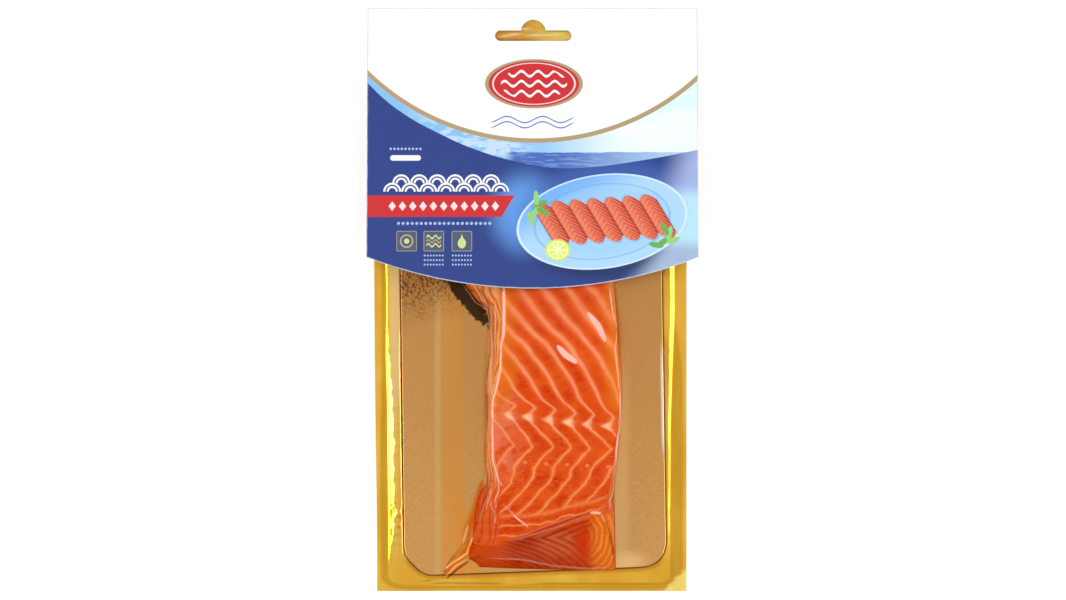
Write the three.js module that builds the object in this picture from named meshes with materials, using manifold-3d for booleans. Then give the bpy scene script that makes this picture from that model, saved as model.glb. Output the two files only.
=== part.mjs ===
// A retail pack of lightly smoked trout fillet, lying face up. A gold-backed vacuum pouch holds a gold
// board and one slice of fillet under skin-tight clear film. A folded header card with a hanging slot
// covers the pouch's upper part, front and back.
//
// Millimetres. +Z is up, out of the pack's face. +Y runs to the card's fold and +X to the viewer's right.
// The origin is the middle of the pack's footprint, on the surface that it lies on.

import * as THREE from 'three';
import { mergeVertices } from 'three/addons/utils/BufferGeometryUtils.js';
import Module from 'manifold-3d';

const wasm = await Module();
wasm.setup();

// Driving dimensions

const PACK_LENGTH = 245; // from the pouch's lower edge to the card's fold
const PACK_TOP = PACK_LENGTH / 2;
const PACK_BOTTOM = -PACK_LENGTH / 2;
const GAP = 0.3; // left between pieces that touch

const CARD_WIDTH = 138.5;
const CARD_RIGHT = CARD_WIDTH / 2;
const CARD_LEFT = -CARD_RIGHT;
const CARD_THICK = 0.4;
const CARD_SIDE_LENGTH = 105; // fold to lower edge, at the card's two sides
const CARD_BELLY = 13; // the front's curved lower edge hangs this far below its corners
const CARD_RISE = 24.6; // how far the front climbs from the fold to its lower edge, over the fillet
const CARD_BOW = 0.12; // share of that climb which comes early, as the card arches
const CARD_DROOP_LEFT = 2.2; // the unheld sides sag
const CARD_DROOP_RIGHT = 3.4;
const CARD_HELD_LEFT = -16; // between these two the fillet holds the card up
const CARD_HELD_RIGHT = 30;
const FOLD_SLACK = 0.5; // air inside the fold, beyond the pouch and its gaps

const SLOT_WIDTH = 32; // the common hanging slot
const SLOT_HEIGHT = 4.4;
const SLOT_HUMP_RADIUS = 5.2;
const SLOT_HUMP_RISE = 1.5; // of the hump's centre above the slot's middle line
const SLOT_X = 0.3;
const SLOT_FROM_FOLD = 12;
const SLOT_CUT = [-5, 15]; // from below the back panel to above the front one

const POUCH_THICK = 0.4;
const POUCH_TOP_INSET = 3; // the pouch stops short of the card's fold
const POUCH_RIGHT = 64.6;
const POUCH_LEFT = [[-122.5, -65.2], [-92, -65.3], [-59, -65.8], [-21, -66.2], [120, -67.2]]; // [y, x]
const POUCH_TILT = Math.atan((CARD_THICK + GAP) / (PACK_LENGTH - CARD_SIDE_LENGTH)); // on the back panel
const BEAD_INSET = 6.2; // a low swelling of the film runs round the rim, this far in
const BEAD_HALF_WIDTH = 3.4;
const BEAD_HEIGHT = 0.8;
const LOWER_RIM_NARROWING = 1.9; // the rim below the board is this much narrower than at the sides

const BOARD_THICK = 0.8;
const BOARD_CORNERS = [ // [x, y, how far the rounding reaches]; the lower left one is cut, then rounded
  [-53.75, -107.6, 4], [-45.4, -115.85, 4], [56.1, -112, 11.5], [52.8, 100, 10.5], [-56.4, 100, 10.5],
];

// The fillet's plan, as [y, x]. Its foot is where film meets board, its brow where the top face starts.
const FOOT_LEFT = [
  [-114, -25.5], [-108.5, -26.7], [-100, -25.3], [-92, -24.5], [-84, -23.1], [-79.5, -21], [-77, -19.2],
  [-64, -20.4], [-51, -19.3], [-37, -19.9], [-23, -18], [-11.7, -18.3], [-3.6, -19.7], [-0.7, -23.3],
  [6.4, -28.2], [12, -29.5], [20, -24], [30, -19], [52, -17], [58, -15],
];
const BROW_LEFT = [
  [-112, -22], [-101.7, -12.9], [-78, -12.8], [-66, -15.3], [-50, -17], [-43, -17.1], [-30, -13.8],
  [-14, -12.2], [20, -12], [52, -10], [58, -10],
];
const BROW_RIGHT = [
  [-114, 33.6], [-100, 30.6], [-87.7, 27.7], [-79.3, 32], [-59.5, 34.9], [-38, 36.4], [-11.6, 34.3],
  [6, 32], [52, 30], [58, 29],
];
const FOOT_RIGHT = [
  [-114, 35], [-92, 34.6], [-79, 34.5], [-59.5, 36.4], [-38, 37.7], [-11.6, 35.8], [6, 34.6], [52, 33],
  [58, 32],
];
const THICKNESS = [
  [-101.7, 20.5], [-87.7, 25], [-75, 28], [-58, 29.5], [-42, 29], [-20, 26], [4, 22], [20, 18.5],
  [42, 13], [52, 10],
]; // [y, height of the top face]
const BACK_RIDGE = [-101.7, -87.7]; // y where the slanted end face starts, at its left and right ends
const BACK_FOOT = [[-1, -109], [0, -112.4], [1, -113.8], [2, -113]]; // [place across, y]
const BELLY_RIDGE = 52;
const BELLY_FOOT = 58;
const FILLET_CROWN = 1.2;
const FILLET_LEFT_SLACK = 3; // how much lower the top face lies at its left brow
const WALL_BULGE = 1.7; // 1 is a straight wall, more is rounder at the brow
const FACE_BULGE = 1.25; // the same for the end faces
const FOOT_HEIGHT = 0.5; // the fillet's sides end this high, not in a knife edge

const PLEAT_START = [-23, -104.5]; // gathered film that runs off the fillet's lower left corner
const PLEAT_END = [-37.8, -116.4];
const PLEAT_WIDTH = [9, 2.2];
const PLEAT_HEIGHT = [6, 1.1];
const PLEAT_ROOF = 0.8; // how much of that height is lost at the tail's two sides

// Helpers

const mix = (a, b, t) => a + (b - a) * t;
const clamp01 = (t) => Math.min(Math.max(t, 0), 1);
const bell = (t) => (Math.abs(t) < 1 ? (1 - t * t) ** 2 : 0);

// A smooth curve through stations [position, value], positions rising, and level beyond the ends.
function through(stations, t) {
  const last = stations.length - 1;
  if (t <= stations[0][0]) return stations[0][1];
  if (t >= stations[last][0]) return stations[last][1];
  let i = 0;
  while (t > stations[i + 1][0]) i++;
  const slope = (k) => {
    const before = stations[Math.max(k - 1, 0)];
    const after = stations[Math.min(k + 1, last)];
    return (after[1] - before[1]) / (after[0] - before[0]);
  };
  const [t0, v0] = stations[i];
  const [t1, v1] = stations[i + 1];
  const span = t1 - t0;
  const s = (t - t0) / span;
  return v0 * (1 + 2 * s) * (1 - s) ** 2 + slope(i) * span * s * (1 - s) ** 2
    + v1 * s * s * (3 - 2 * s) + slope(i + 1) * span * s * s * (s - 1);
}

// Keeps only positions, and joins the vertices that a block's six sides share.
function welded(geometry) {
  geometry.deleteAttribute('normal');
  geometry.deleteAttribute('uv');
  return mergeVertices(geometry, 1e-4);
}

// A closed block of cells across and along, each vertex put where place(u, v, w) says, all from 0 to 1.
function shapedBlock(across, along, place) {
  const geometry = new THREE.BoxGeometry(1, 1, 1, across, along, 1);
  const position = geometry.attributes.position;
  for (let i = 0; i < position.count; i++) {
    const spot = place(position.getX(i) + 0.5, position.getY(i) + 0.5, position.getZ(i) + 0.5);
    position.setXYZ(i, ...spot);
  }
  return welded(geometry);
}

function toSolid(geometry) {
  return new wasm.Manifold(new wasm.Mesh({
    numProp: 3,
    vertProperties: Float32Array.from(geometry.attributes.position.array),
    triVerts: Uint32Array.from(geometry.index.array),
  }));
}

function toGeometry(solid) {
  const mesh = solid.getMesh();
  const geometry = new THREE.BufferGeometry();
  geometry.setAttribute('position', new THREE.BufferAttribute(mesh.vertProperties, 3));
  geometry.setIndex(new THREE.BufferAttribute(mesh.triVerts, 1));
  geometry.computeVertexNormals();
  return geometry;
}

function namedMesh(name, geometry, color, roughness, metalness) {
  const mesh = new THREE.Mesh(geometry, new THREE.MeshStandardMaterial({ color, roughness, metalness }));
  mesh.name = name;
  return mesh;
}

// Header card: back panel, rolled fold and front panel, one strip folded over the pouch's top edge.

const FOLD_RADIUS = (2 * CARD_THICK + 2 * GAP + POUCH_THICK + FOLD_SLACK) / 2;
const FOLD_Y = PACK_TOP - FOLD_RADIUS;

function frontEdge(x) { // y of the front's lower edge, an arc of a circle
  const radius = (CARD_RIGHT ** 2 + CARD_BELLY ** 2) / (2 * CARD_BELLY);
  const lowest = PACK_TOP - CARD_SIDE_LENGTH - CARD_BELLY;
  return lowest + radius - Math.sqrt(radius ** 2 - x ** 2);
}

function frontHeight(x, y) { // z of the front's outer face
  const t = (FOLD_Y - y) / (CARD_SIDE_LENGTH + CARD_BELLY - FOLD_RADIUS);
  const left = clamp01((CARD_HELD_LEFT - x) / (CARD_HELD_LEFT - CARD_LEFT));
  const right = clamp01((x - CARD_HELD_RIGHT) / (CARD_RIGHT - CARD_HELD_RIGHT));
  const droop = t * (CARD_DROOP_LEFT * left ** 2 + CARD_DROOP_RIGHT * right ** 2);
  return 2 * FOLD_RADIUS + CARD_RISE * ((1 + CARD_BOW) * t - CARD_BOW * t * t) - droop;
}

function cardGeometry() {
  const columns = 18;
  const backRows = 2;
  const foldRows = 6;
  const frontRows = 16;
  const rows = backRows + foldRows + frontRows;
  return shapedBlock(columns, rows, (u, v, w) => { // w runs from the outer face to the inner one
    const x = mix(CARD_LEFT, CARD_RIGHT, u);
    const row = Math.round(v * rows);
    const inward = w * CARD_THICK;
    if (row <= backRows) return [x, mix(PACK_TOP - CARD_SIDE_LENGTH, FOLD_Y, row / backRows), inward];
    if (row < backRows + foldRows) {
      const turn = Math.PI * (row - backRows) / foldRows;
      const radius = FOLD_RADIUS - inward;
      return [x, FOLD_Y + radius * Math.sin(turn), FOLD_RADIUS - radius * Math.cos(turn)];
    }
    const y = mix(FOLD_Y, frontEdge(x), (row - backRows - foldRows) / frontRows);
    return [x, y, frontHeight(x, y) - inward];
  });
}

function slotGeometry() { // a round-ended slot with a hump in the middle of its upper side
  const end = SLOT_HEIGHT / 2;
  const reach = SLOT_WIDTH / 2 - end;
  const lift = end - SLOT_HUMP_RISE;
  const humpHalf = Math.sqrt(SLOT_HUMP_RADIUS ** 2 - lift ** 2);
  const humpAngle = Math.atan2(lift, humpHalf);
  const outline = new THREE.Shape();
  outline.moveTo(-reach, -end);
  outline.lineTo(reach, -end);
  outline.absarc(reach, 0, end, -Math.PI / 2, Math.PI / 2);
  outline.lineTo(humpHalf, end);
  outline.absarc(0, SLOT_HUMP_RISE, SLOT_HUMP_RADIUS, humpAngle, Math.PI - humpAngle);
  outline.lineTo(-reach, end);
  outline.absarc(-reach, 0, end, Math.PI / 2, Math.PI * 1.5);
  const [low, high] = SLOT_CUT;
  const cutter = new THREE.ExtrudeGeometry(outline, {
    depth: high - low, bevelEnabled: false, curveSegments: 12,
  });
  cutter.translate(SLOT_X, PACK_TOP - SLOT_FROM_FOLD, low);
  return welded(cutter);
}

function headerCard() {
  const solid = toSolid(cardGeometry()).subtract(toSolid(slotGeometry()));
  return namedMesh('header_card', toGeometry(solid), 0xf6f7f8, 0.3, 0);
}

// Vacuum pouch, in its own frame with its lower edge on the surface.

function goldBackFilm() { // the pouch's opaque half, with a low swelling all round its rim
  const beadInsets = [-1, -0.5, 0, 0.5, 1].map((s) => BEAD_INSET + s * BEAD_HALF_WIDTH);
  const rimInsets = [0, ...beadInsets];
  const top = PACK_TOP - POUCH_TOP_INSET;
  const rimSteps = rimInsets.length - 1;
  const innerSteps = 4;
  const steps = 2 * rimSteps + innerSteps;
  const inner = rimInsets[rimSteps];
  const position = (low, high, step) => { // from rim to rim, with the fine steps at the rims
    if (step <= rimSteps) return low + rimInsets[step];
    if (step >= steps - rimSteps) return high - rimInsets[steps - step];
    return mix(low + inner, high - inner, (step - rimSteps) / innerSteps);
  };
  const geometry = shapedBlock(steps, steps, (u, v, w) => {
    let y = position(PACK_BOTTOM, top, Math.round(v * steps));
    if (y < PACK_BOTTOM + inner) y = PACK_BOTTOM + (y - PACK_BOTTOM) / LOWER_RIM_NARROWING;
    const left = through(POUCH_LEFT, y);
    const x = position(left, POUCH_RIGHT, Math.round(u * steps));
    const lowerInset = (y - PACK_BOTTOM) * LOWER_RIM_NARROWING;
    const inset = Math.min(x - left, POUCH_RIGHT - x, lowerInset, top - y);
    const bead = BEAD_HEIGHT * bell((inset - BEAD_INSET) / BEAD_HALF_WIDTH);
    return [x, y - PACK_BOTTOM, bead + w * POUCH_THICK];
  });
  return namedMesh('gold_back_film', geometry, 0xd9a838, 0.25, 1);
}

function goldBoard() {
  const corners = BOARD_CORNERS.map(([x, y]) => new THREE.Vector2(x, y - PACK_BOTTOM));
  const outline = new THREE.Shape();
  corners.forEach((corner, i) => { // each corner is a curve between points some way along its sides
    const reach = BOARD_CORNERS[i][2];
    const before = corners.at(i - 1).clone().sub(corner).setLength(reach).add(corner);
    const after = corners[(i + 1) % corners.length].clone().sub(corner).setLength(reach).add(corner);
    if (i === 0) outline.moveTo(before.x, before.y);
    else outline.lineTo(before.x, before.y);
    outline.quadraticCurveTo(corner.x, corner.y, after.x, after.y);
  });
  outline.closePath();
  const board = new THREE.ExtrudeGeometry(outline, {
    depth: BOARD_THICK, bevelEnabled: false, curveSegments: 8,
  });
  const mesh = namedMesh('gold_board', welded(board), 0xbd9050, 0.4, 1);
  mesh.position.z = POUCH_THICK + GAP;
  return mesh;
}

// Fillet. across: -1 left foot, 0 left brow, 1 right brow, 2 right foot.
// along: -1 foot of the back face, 0 its ridge, 1 belly ridge, 2 belly foot.
function filletPoint(across, along) {
  const onTop = clamp01(across);
  const ridge = mix(BACK_RIDGE[0], BACK_RIDGE[1], onTop);
  let y = mix(ridge, BELLY_RIDGE, clamp01(along));
  if (along < 0) y = mix(ridge, through(BACK_FOOT, across), -along);
  if (along > 1) y = mix(BELLY_RIDGE, BELLY_FOOT, along - 1);
  let x = mix(through(BROW_LEFT, y), through(BROW_RIGHT, y), onTop);
  if (across < 0) x = mix(x, through(FOOT_LEFT, y), -across);
  if (across > 1) x = mix(x, through(FOOT_RIGHT, y), across - 1);
  const wall = 1 - Math.max(-across, across - 1, 0) ** WALL_BULGE;
  const face = 1 - Math.max(-along, along - 1, 0) ** FACE_BULGE;
  const top = through(THICKNESS, Math.max(y, ridge)) + FILLET_CROWN * (1 - (2 * onTop - 1) ** 2)
    - FILLET_LEFT_SLACK * (1 - onTop) ** 3;
  return [x, y - PACK_BOTTOM, FOOT_HEIGHT + (top - FOOT_HEIGHT) * Math.min(wall, face)];
}

// A place from -1 to 2, with its own number of cells before 0, between 0 and 1, and after 1.
function placeInBands(cells, fraction) {
  const [before, between, after] = cells;
  const cell = Math.round(fraction * (before + between + after));
  if (cell < before) return cell / before - 1;
  if (cell <= before + between) return (cell - before) / between;
  return 1 + (cell - before - between) / after;
}

function filletGeometry() {
  const cellsAcross = [6, 12, 5];
  const cellsAlong = [7, 34, 4];
  const total = (cells) => cells.reduce((sum, n) => sum + n);
  return shapedBlock(total(cellsAcross), total(cellsAlong), (u, v, w) => {
    const [x, y, height] = filletPoint(placeInBands(cellsAcross, u), placeInBands(cellsAlong, v));
    return [x, y, w * height];
  });
}

function pleatGeometry() { // a tapering roof-shaped tail of gathered film
  const run = new THREE.Vector2(PLEAT_END[0] - PLEAT_START[0], PLEAT_END[1] - PLEAT_START[1]);
  const side = new THREE.Vector2(run.y, -run.x).normalize();
  return shapedBlock(4, 8, (u, v, w) => {
    const width = mix(...PLEAT_WIDTH, v);
    const height = mix(...PLEAT_HEIGHT, v) * (1 - PLEAT_ROOF * Math.abs(2 * u - 1));
    const x = PLEAT_START[0] + run.x * v + side.x * width * (u - 0.5);
    const y = PLEAT_START[1] + run.y * v + side.y * width * (u - 0.5);
    return [x, y - PACK_BOTTOM, w * height];
  });
}

function filletInClearFilm() { // the clear film clings to the fillet, so both are one solid
  const solid = toSolid(filletGeometry()).add(toSolid(pleatGeometry()));
  const mesh = namedMesh('fillet_in_clear_film', toGeometry(solid), 0xe0622a, 0.2, 0);
  mesh.position.z = POUCH_THICK + GAP + BOARD_THICK + GAP;
  return mesh;
}

function vacuumPouch() {
  const pouch = new THREE.Group();
  pouch.add(goldBackFilm(), goldBoard(), filletInClearFilm());
  pouch.position.y = PACK_BOTTOM;
  pouch.rotation.x = POUCH_TILT;
  return pouch;
}

const pack = new THREE.Group();
pack.add(headerCard(), vacuumPouch());

export default pack;
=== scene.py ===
# %% [markdown]
# # A pack of smoked trout fillet
#
# One slice of trout lies on a gold board in a vacuum pouch. The pouch is gold behind and clear in front,
# and a folded, printed header card covers its upper part. The frame gives the pieces at their real size.
# These cells give each of them its finish, and replace the plain solids by finer ones of the same form.

# %% Load the frame
import math

import bpy
import numpy as np
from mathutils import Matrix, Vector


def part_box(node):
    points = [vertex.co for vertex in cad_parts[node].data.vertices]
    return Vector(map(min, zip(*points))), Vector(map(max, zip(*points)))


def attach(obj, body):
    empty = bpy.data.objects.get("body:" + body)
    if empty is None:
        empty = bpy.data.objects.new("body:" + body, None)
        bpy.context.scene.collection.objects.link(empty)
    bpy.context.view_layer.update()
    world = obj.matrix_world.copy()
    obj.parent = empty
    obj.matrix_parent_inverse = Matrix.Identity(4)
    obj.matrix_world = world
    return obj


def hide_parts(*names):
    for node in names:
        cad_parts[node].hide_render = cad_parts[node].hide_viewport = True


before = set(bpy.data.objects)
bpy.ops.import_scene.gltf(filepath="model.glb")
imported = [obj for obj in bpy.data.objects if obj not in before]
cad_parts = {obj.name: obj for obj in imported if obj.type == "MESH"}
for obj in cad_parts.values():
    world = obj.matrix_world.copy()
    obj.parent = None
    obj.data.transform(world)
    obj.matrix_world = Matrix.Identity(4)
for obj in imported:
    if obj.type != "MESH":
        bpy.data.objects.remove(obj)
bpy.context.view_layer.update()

# %% [markdown]
# Packs like this are drawn in millimetres, and Blender's scene is in metres. Every number below is in
# millimetres, and one function turns points into metres when it makes a mesh. The card and the pouch are
# sheets, so most pieces are a grid of points: rows of columns of x, y, z. A grid is easy to bend with a
# formula, and one quad to a cell keeps the shading smooth.

# %% Grids of points
MM = 0.001


def mix(a, b, t):
    return a + (b - a) * t


def smooth_step(t):
    t = np.clip(t, 0, 1)
    return t * t * (3 - 2 * t)


def bell(t):
    return np.clip(1 - t * t, 0, None) ** 2


def quads_between(rows):
    """Quads that join neighbouring rows of vertex numbers."""
    corners = [rows[:-1, :-1], rows[:-1, 1:], rows[1:, 1:], rows[1:, :-1]]
    return np.stack(corners, -1).reshape(-1, 4)


def new_object(name, points, faces):
    mesh = bpy.data.meshes.new(name)
    mesh.from_pydata((points.reshape(-1, 3) * MM).tolist(), [], faces)
    mesh.validate()
    piece = bpy.data.objects.new(name, mesh)
    bpy.context.scene.collection.objects.link(piece)
    print(f"{name}: {len(mesh.vertices)} points, {len(mesh.polygons)} faces")
    return piece


def smooth_object(name, points, faces):
    piece = new_object(name, points, faces.tolist())
    piece.data.shade_smooth()
    return piece


def sheet_piece(name, grid):
    """An open skin over a grid of points."""
    rows, columns = grid.shape[:2]
    return smooth_object(name, grid, quads_between(np.arange(rows * columns).reshape(rows, columns)))


def slab_piece(name, top, bottom):
    """A closed slab between two grids. Its faces come in this order: top, bottom, edge."""
    rows, columns = top.shape[:2]
    upper = np.arange(rows * columns).reshape(rows, columns)
    lower = upper + upper.size
    border = np.concatenate([upper[0, :], upper[1:, -1], upper[-1, -2::-1], upper[-2::-1, 0]])
    edge = quads_between(np.stack([border + upper.size, border]))
    faces = np.concatenate([quads_between(upper), quads_between(lower)[:, ::-1], edge])
    return smooth_object(name, np.concatenate([top.reshape(-1, 3), bottom.reshape(-1, 3)]), faces)


def store(piece, **grids):
    """Keeps named numbers for the points of the top grid on the mesh, for a material to read."""
    for name, values in grids.items():
        attribute = piece.data.attributes.new(name, "FLOAT", "POINT")
        every = np.zeros(len(piece.data.vertices), np.float32)
        every[:values.size] = values.ravel()
        attribute.data.foreach_set("value", every)


# %% [markdown]
# Real outlines aren't straight. `through` draws a smooth curve through a few stations measured on the real
# pack, and `ripple` is soft, seeded noise: the same hills and dips on every run.

# %% Curves and ripples
def through(stations, t):
    """A smooth curve through stations (position, value), positions rising, and level beyond the ends."""
    where, value = np.array(stations, float).T
    number = np.arange(len(where))
    before = np.maximum(number - 1, 0)
    after = np.minimum(number + 1, len(where) - 1)
    slope = (value[after] - value[before]) / (where[after] - where[before])
    t = np.clip(t, where[0], where[-1])
    i = np.clip(np.searchsorted(where, t, side="right") - 1, 0, len(where) - 2)
    span = where[i + 1] - where[i]
    s = (t - where[i]) / span
    start = value[i] * (1 + 2 * s) * (1 - s) ** 2 + slope[i] * span * s * (1 - s) ** 2
    return start + value[i + 1] * s * s * (3 - 2 * s) + slope[i + 1] * span * s * s * (s - 1)


LATTICE = (97, 89)  # cells of seeded noise before it repeats
LATTICE_START = 40


def ripple(x, y, size, seed):
    """Soft noise from -1 to 1 whose hills are about size across, or (size in x, size in y)."""
    wide, long = size if isinstance(size, tuple) else (size, size)
    lattice = np.random.default_rng(seed).uniform(-1, 1, LATTICE)
    u, v = np.broadcast_arrays(x / wide + LATTICE_START, y / long + LATTICE_START)
    i, j = np.floor(u).astype(int), np.floor(v).astype(int)
    s, t = smooth_step(u - i), smooth_step(v - j)

    def corner(right, up):
        return lattice[(i + right) % LATTICE[0], (j + up) % LATTICE[1]]

    return mix(mix(corner(0, 0), corner(1, 0), s), mix(corner(0, 1), corner(1, 1), s), t)


FAR = 1e9


def crease(x, y, points, half_width):
    """1 along a line of points, falling to 0 at half_width from it, and tapering to its ends."""
    points = np.array(points, float)
    steps = np.diff(points, axis=0)
    lengths = np.hypot(*steps.T)
    nearest, travelled = np.full(x.shape, FAR), np.zeros(x.shape)
    for i, (start, step, length) in enumerate(zip(points, steps, lengths)):
        t = np.clip(((x - start[0]) * step[0] + (y - start[1]) * step[1]) / length ** 2, 0, 1)
        distance = np.hypot(x - start[0] - t * step[0], y - start[1] - t * step[1])
        closer = distance < nearest
        nearest = np.where(closer, distance, nearest)
        travelled = np.where(closer, lengths[:i].sum() + t * length, travelled)
    share = travelled / lengths.sum()
    taper = np.clip(4 * share * (1 - share), 0.02, 1) ** 0.4
    return bell(nearest / (half_width * taper))


# %% [markdown]
# ## Materials as arithmetic
#
# The card's print, the fat lines in the fish and the creases in the gold are all formulas over the surface.
# Blender writes formulas as Math nodes, which are tedious to wire one by one. A small class makes each
# `+` or `*` add its own node, so that a pattern reads like the sum that it is.

# %% Fields: numbers that vary over a surface
def colour(red, green, blue):
    """A colour as a picture program shows it, 0 to 255, in the linear form that shaders use."""
    return tuple(mix(c / 12.92, ((c + 0.055) / 1.055) ** 2.4, c > 0.04045) for c in
                 (red / 255, green / 255, blue / 255))


class Field:
    def __init__(self, tree, socket):
        self.tree = tree
        self.socket = socket

    def node(self, kind, *inputs, output=0, **settings):
        made = self.tree.nodes.new(kind)
        for name, value in settings.items():
            setattr(made, name, value)
        for slot, value in zip(made.inputs, inputs):
            if isinstance(value, Field):
                self.tree.links.new(value.socket, slot)
            elif value is not None:
                slot.default_value = value
        return Field(self.tree, made.outputs[output])

    def math(self, operation, *others, clamp=False):
        return self.node("ShaderNodeMath", self, *others, operation=operation, use_clamp=clamp)

    def __add__(self, other):
        return self.math("ADD", other)

    def __sub__(self, other):
        return self.math("SUBTRACT", other)

    def __mul__(self, other):
        return self.math("MULTIPLY", other)

    def __truediv__(self, other):
        return self.math("DIVIDE", other)

    def size(self):
        return self.math("ABSOLUTE")

    def below(self, limit, soft):
        """1 where the field is under limit, 0 where it is over, with a soft edge."""
        return self.node("ShaderNodeMapRange", self, limit - soft / 2, limit + soft / 2, 1, 0,
                         interpolation_type="SMOOTHSTEP")

    def above(self, limit, soft):
        return self.node("ShaderNodeMapRange", self, limit - soft / 2, limit + soft / 2, 0, 1,
                         interpolation_type="SMOOTHSTEP")

    def repeat(self, pitch):
        """The field folded into one cell of a row, from -pitch / 2 to pitch / 2."""
        return self.math("WRAP", pitch / 2, -pitch / 2)

    def curve(self, stations, low, high, bottom, top):
        """A curve through stations (field, value), for a field from low to high."""
        share = self.node("ShaderNodeMapRange", self, low, high, 0, 1)
        made = share.node("ShaderNodeFloatCurve", 1.0, share)
        points = made.socket.node.mapping.curves[0].points
        while len(points) < len(stations):
            points.new(0.5, 0.5)
        for point, (where, value) in zip(points, stations):
            point.location = ((where - low) / (high - low), (value - bottom) / (top - bottom))
        made.socket.node.mapping.update()
        return made * (top - bottom) + bottom


def new_material(name):
    """A material with its Principled shader, and its surface's x, y and z in millimetres."""
    material = bpy.data.materials.new(name)
    material.use_nodes = True
    tree = material.node_tree
    shader = tree.nodes["Principled BSDF"]
    place = tree.nodes.new("ShaderNodeTexCoord")
    scaled = tree.nodes.new("ShaderNodeVectorMath")
    scaled.operation = "SCALE"
    scaled.inputs["Scale"].default_value = 1 / MM
    split = tree.nodes.new("ShaderNodeSeparateXYZ")
    tree.links.new(place.outputs["Object"], scaled.inputs[0])
    tree.links.new(scaled.outputs[0], split.inputs[0])
    return material, shader, [Field(tree, socket) for socket in (scaled.outputs[0], *split.outputs)]


def noise(place, size, detail=2.0, stretch=None):
    """Cloudy noise from 0 to 1, with clouds about size across. stretch is (x, y, z) scales."""
    if stretch:
        place = place.node("ShaderNodeVectorMath", place, stretch, operation="MULTIPLY")
    return place.node("ShaderNodeTexNoise", place, None, 1 / size, detail)


MIX_LOW, MIX_HIGH, MIX_RESULT = 6, 7, 2  # a Mix node's sockets for colours


def blend_colours(share, low, high):
    """A colour from low to high as share goes from 0 to 1. Either may be a colour or a Field."""
    tree = share.tree
    made = tree.nodes.new("ShaderNodeMix")
    made.data_type = "RGBA"
    tree.links.new(share.socket, made.inputs["Factor"])
    for number, value in ((MIX_LOW, low), (MIX_HIGH, high)):
        if isinstance(value, Field):
            tree.links.new(value.socket, made.inputs[number])
        else:
            made.inputs[number].default_value = (*value, 1)
    return Field(tree, made.outputs[MIX_RESULT])


class Layers:
    """A ground colour, and colours laid over it one after another, each where its mask is 1."""

    def __init__(self, ground):
        self.top = ground

    def lay(self, mask, tint, strength=1.0):
        self.top = blend_colours(mask * strength if strength != 1.0 else mask, self.top, tint)


def connect(value, shader, name):
    value.tree.links.new(value.socket, shader.inputs[name])


def set_numbers(shader, **numbers):
    """set_numbers(shader, Coat_Weight=0.5) sets the socket called Coat Weight."""
    for name, value in numbers.items():
        shader.inputs[name.replace("_", " ")].default_value = value


def add_bump(shader, height, depth):
    """Fine relief from a field from 0 to 1, depth millimetres deep."""
    tree = height.tree
    bump = tree.nodes.new("ShaderNodeBump")
    set_numbers(bump, Strength=1.0, Distance=depth * MM)
    tree.links.new(height.socket, bump.inputs["Height"])
    tree.links.new(bump.outputs["Normal"], shader.inputs["Normal"])


def paper(name, cloud, detail, dark, pale, **numbers):
    """Uncoated paper or card: dull, and slightly cloudy."""
    material, shader, (place, *_) = new_material(name)
    connect(blend_colours(noise(place, cloud, detail), dark, pale), shader, "Base Color")
    set_numbers(shader, **numbers)
    return material


# %% [markdown]
# ## Camera, light and floor
#
# The pack lies on its back, so the camera looks straight down at its face. It is far away with a long lens,
# as a product photographer stands back to keep the edges parallel. Foil and film only look like foil and
# film when they have something to mirror: two long soft boxes, left and right of the pack, draw the bright
# lines along every crease, and a dim room fills in between them.

# %% Camera
CAMERA_HEIGHT = 2500
FRAME_WIDTH = 447.7  # of the floor, from the picture's left side to its right
SENSOR = 36

lens = bpy.data.cameras.new("camera")
lens.sensor_width = SENSOR
lens.lens = SENSOR * CAMERA_HEIGHT / FRAME_WIDTH
lens.clip_end = 20
camera = bpy.data.objects.new("camera", lens)
camera.location = (0.2 * MM, -0.3 * MM, CAMERA_HEIGHT * MM)
bpy.context.scene.collection.objects.link(camera)
bpy.context.scene.camera = camera
bpy.context.scene.view_settings.view_transform = "Standard"
print("lens:", round(lens.lens), "mm")


# %% Light
def soft_box(name, place, size, power):
    """A rectangular light at place, in metres, turned to the pack."""
    light = bpy.data.lights.new(name, "AREA")
    light.shape = "RECTANGLE"
    light.size, light.size_y = size
    light.energy = power
    box = bpy.data.objects.new(name, light)
    box.location = place
    box.rotation_euler = (-box.location).to_track_quat("-Z", "Y").to_euler()
    bpy.context.scene.collection.objects.link(box)
    return box


soft_box("soft_box_left", (-0.95, 0.05, 1.05), (1.3, 0.2), 9.8)
soft_box("soft_box_right", (0.95, 0.05, 1.05), (1.3, 0.22), 10.2)

world = bpy.data.worlds.new("room")
bpy.context.scene.world = world
world.use_nodes = True
direction = world.node_tree.nodes.new("ShaderNodeTexCoord")
height = world.node_tree.nodes.new("ShaderNodeSeparateXYZ")
room = world.node_tree.nodes.new("ShaderNodeValToRGB")
world.node_tree.links.new(direction.outputs["Generated"], height.inputs[0])
world.node_tree.links.new(height.outputs["Z"], room.inputs[0])
world.node_tree.links.new(room.outputs[0], world.node_tree.nodes["Background"].inputs["Color"])
ROOM = [(0.0, 0.3), (0.5, 0.22), (0.82, 0.42), (0.96, 0.76), (1.0, 0.8)]  # (direction's height, brightness)
while len(room.color_ramp.elements) < len(ROOM):
    room.color_ramp.elements.new(0.5)
for element, (position, brightness) in zip(room.color_ramp.elements, ROOM):
    element.position = position
    element.color = (brightness, brightness, brightness, 1)


# %% Floor
FLOOR_HALF = 3000.0
FLOOR_LEVEL = -0.1  # just under the pack, so that no two faces share a plane

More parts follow.
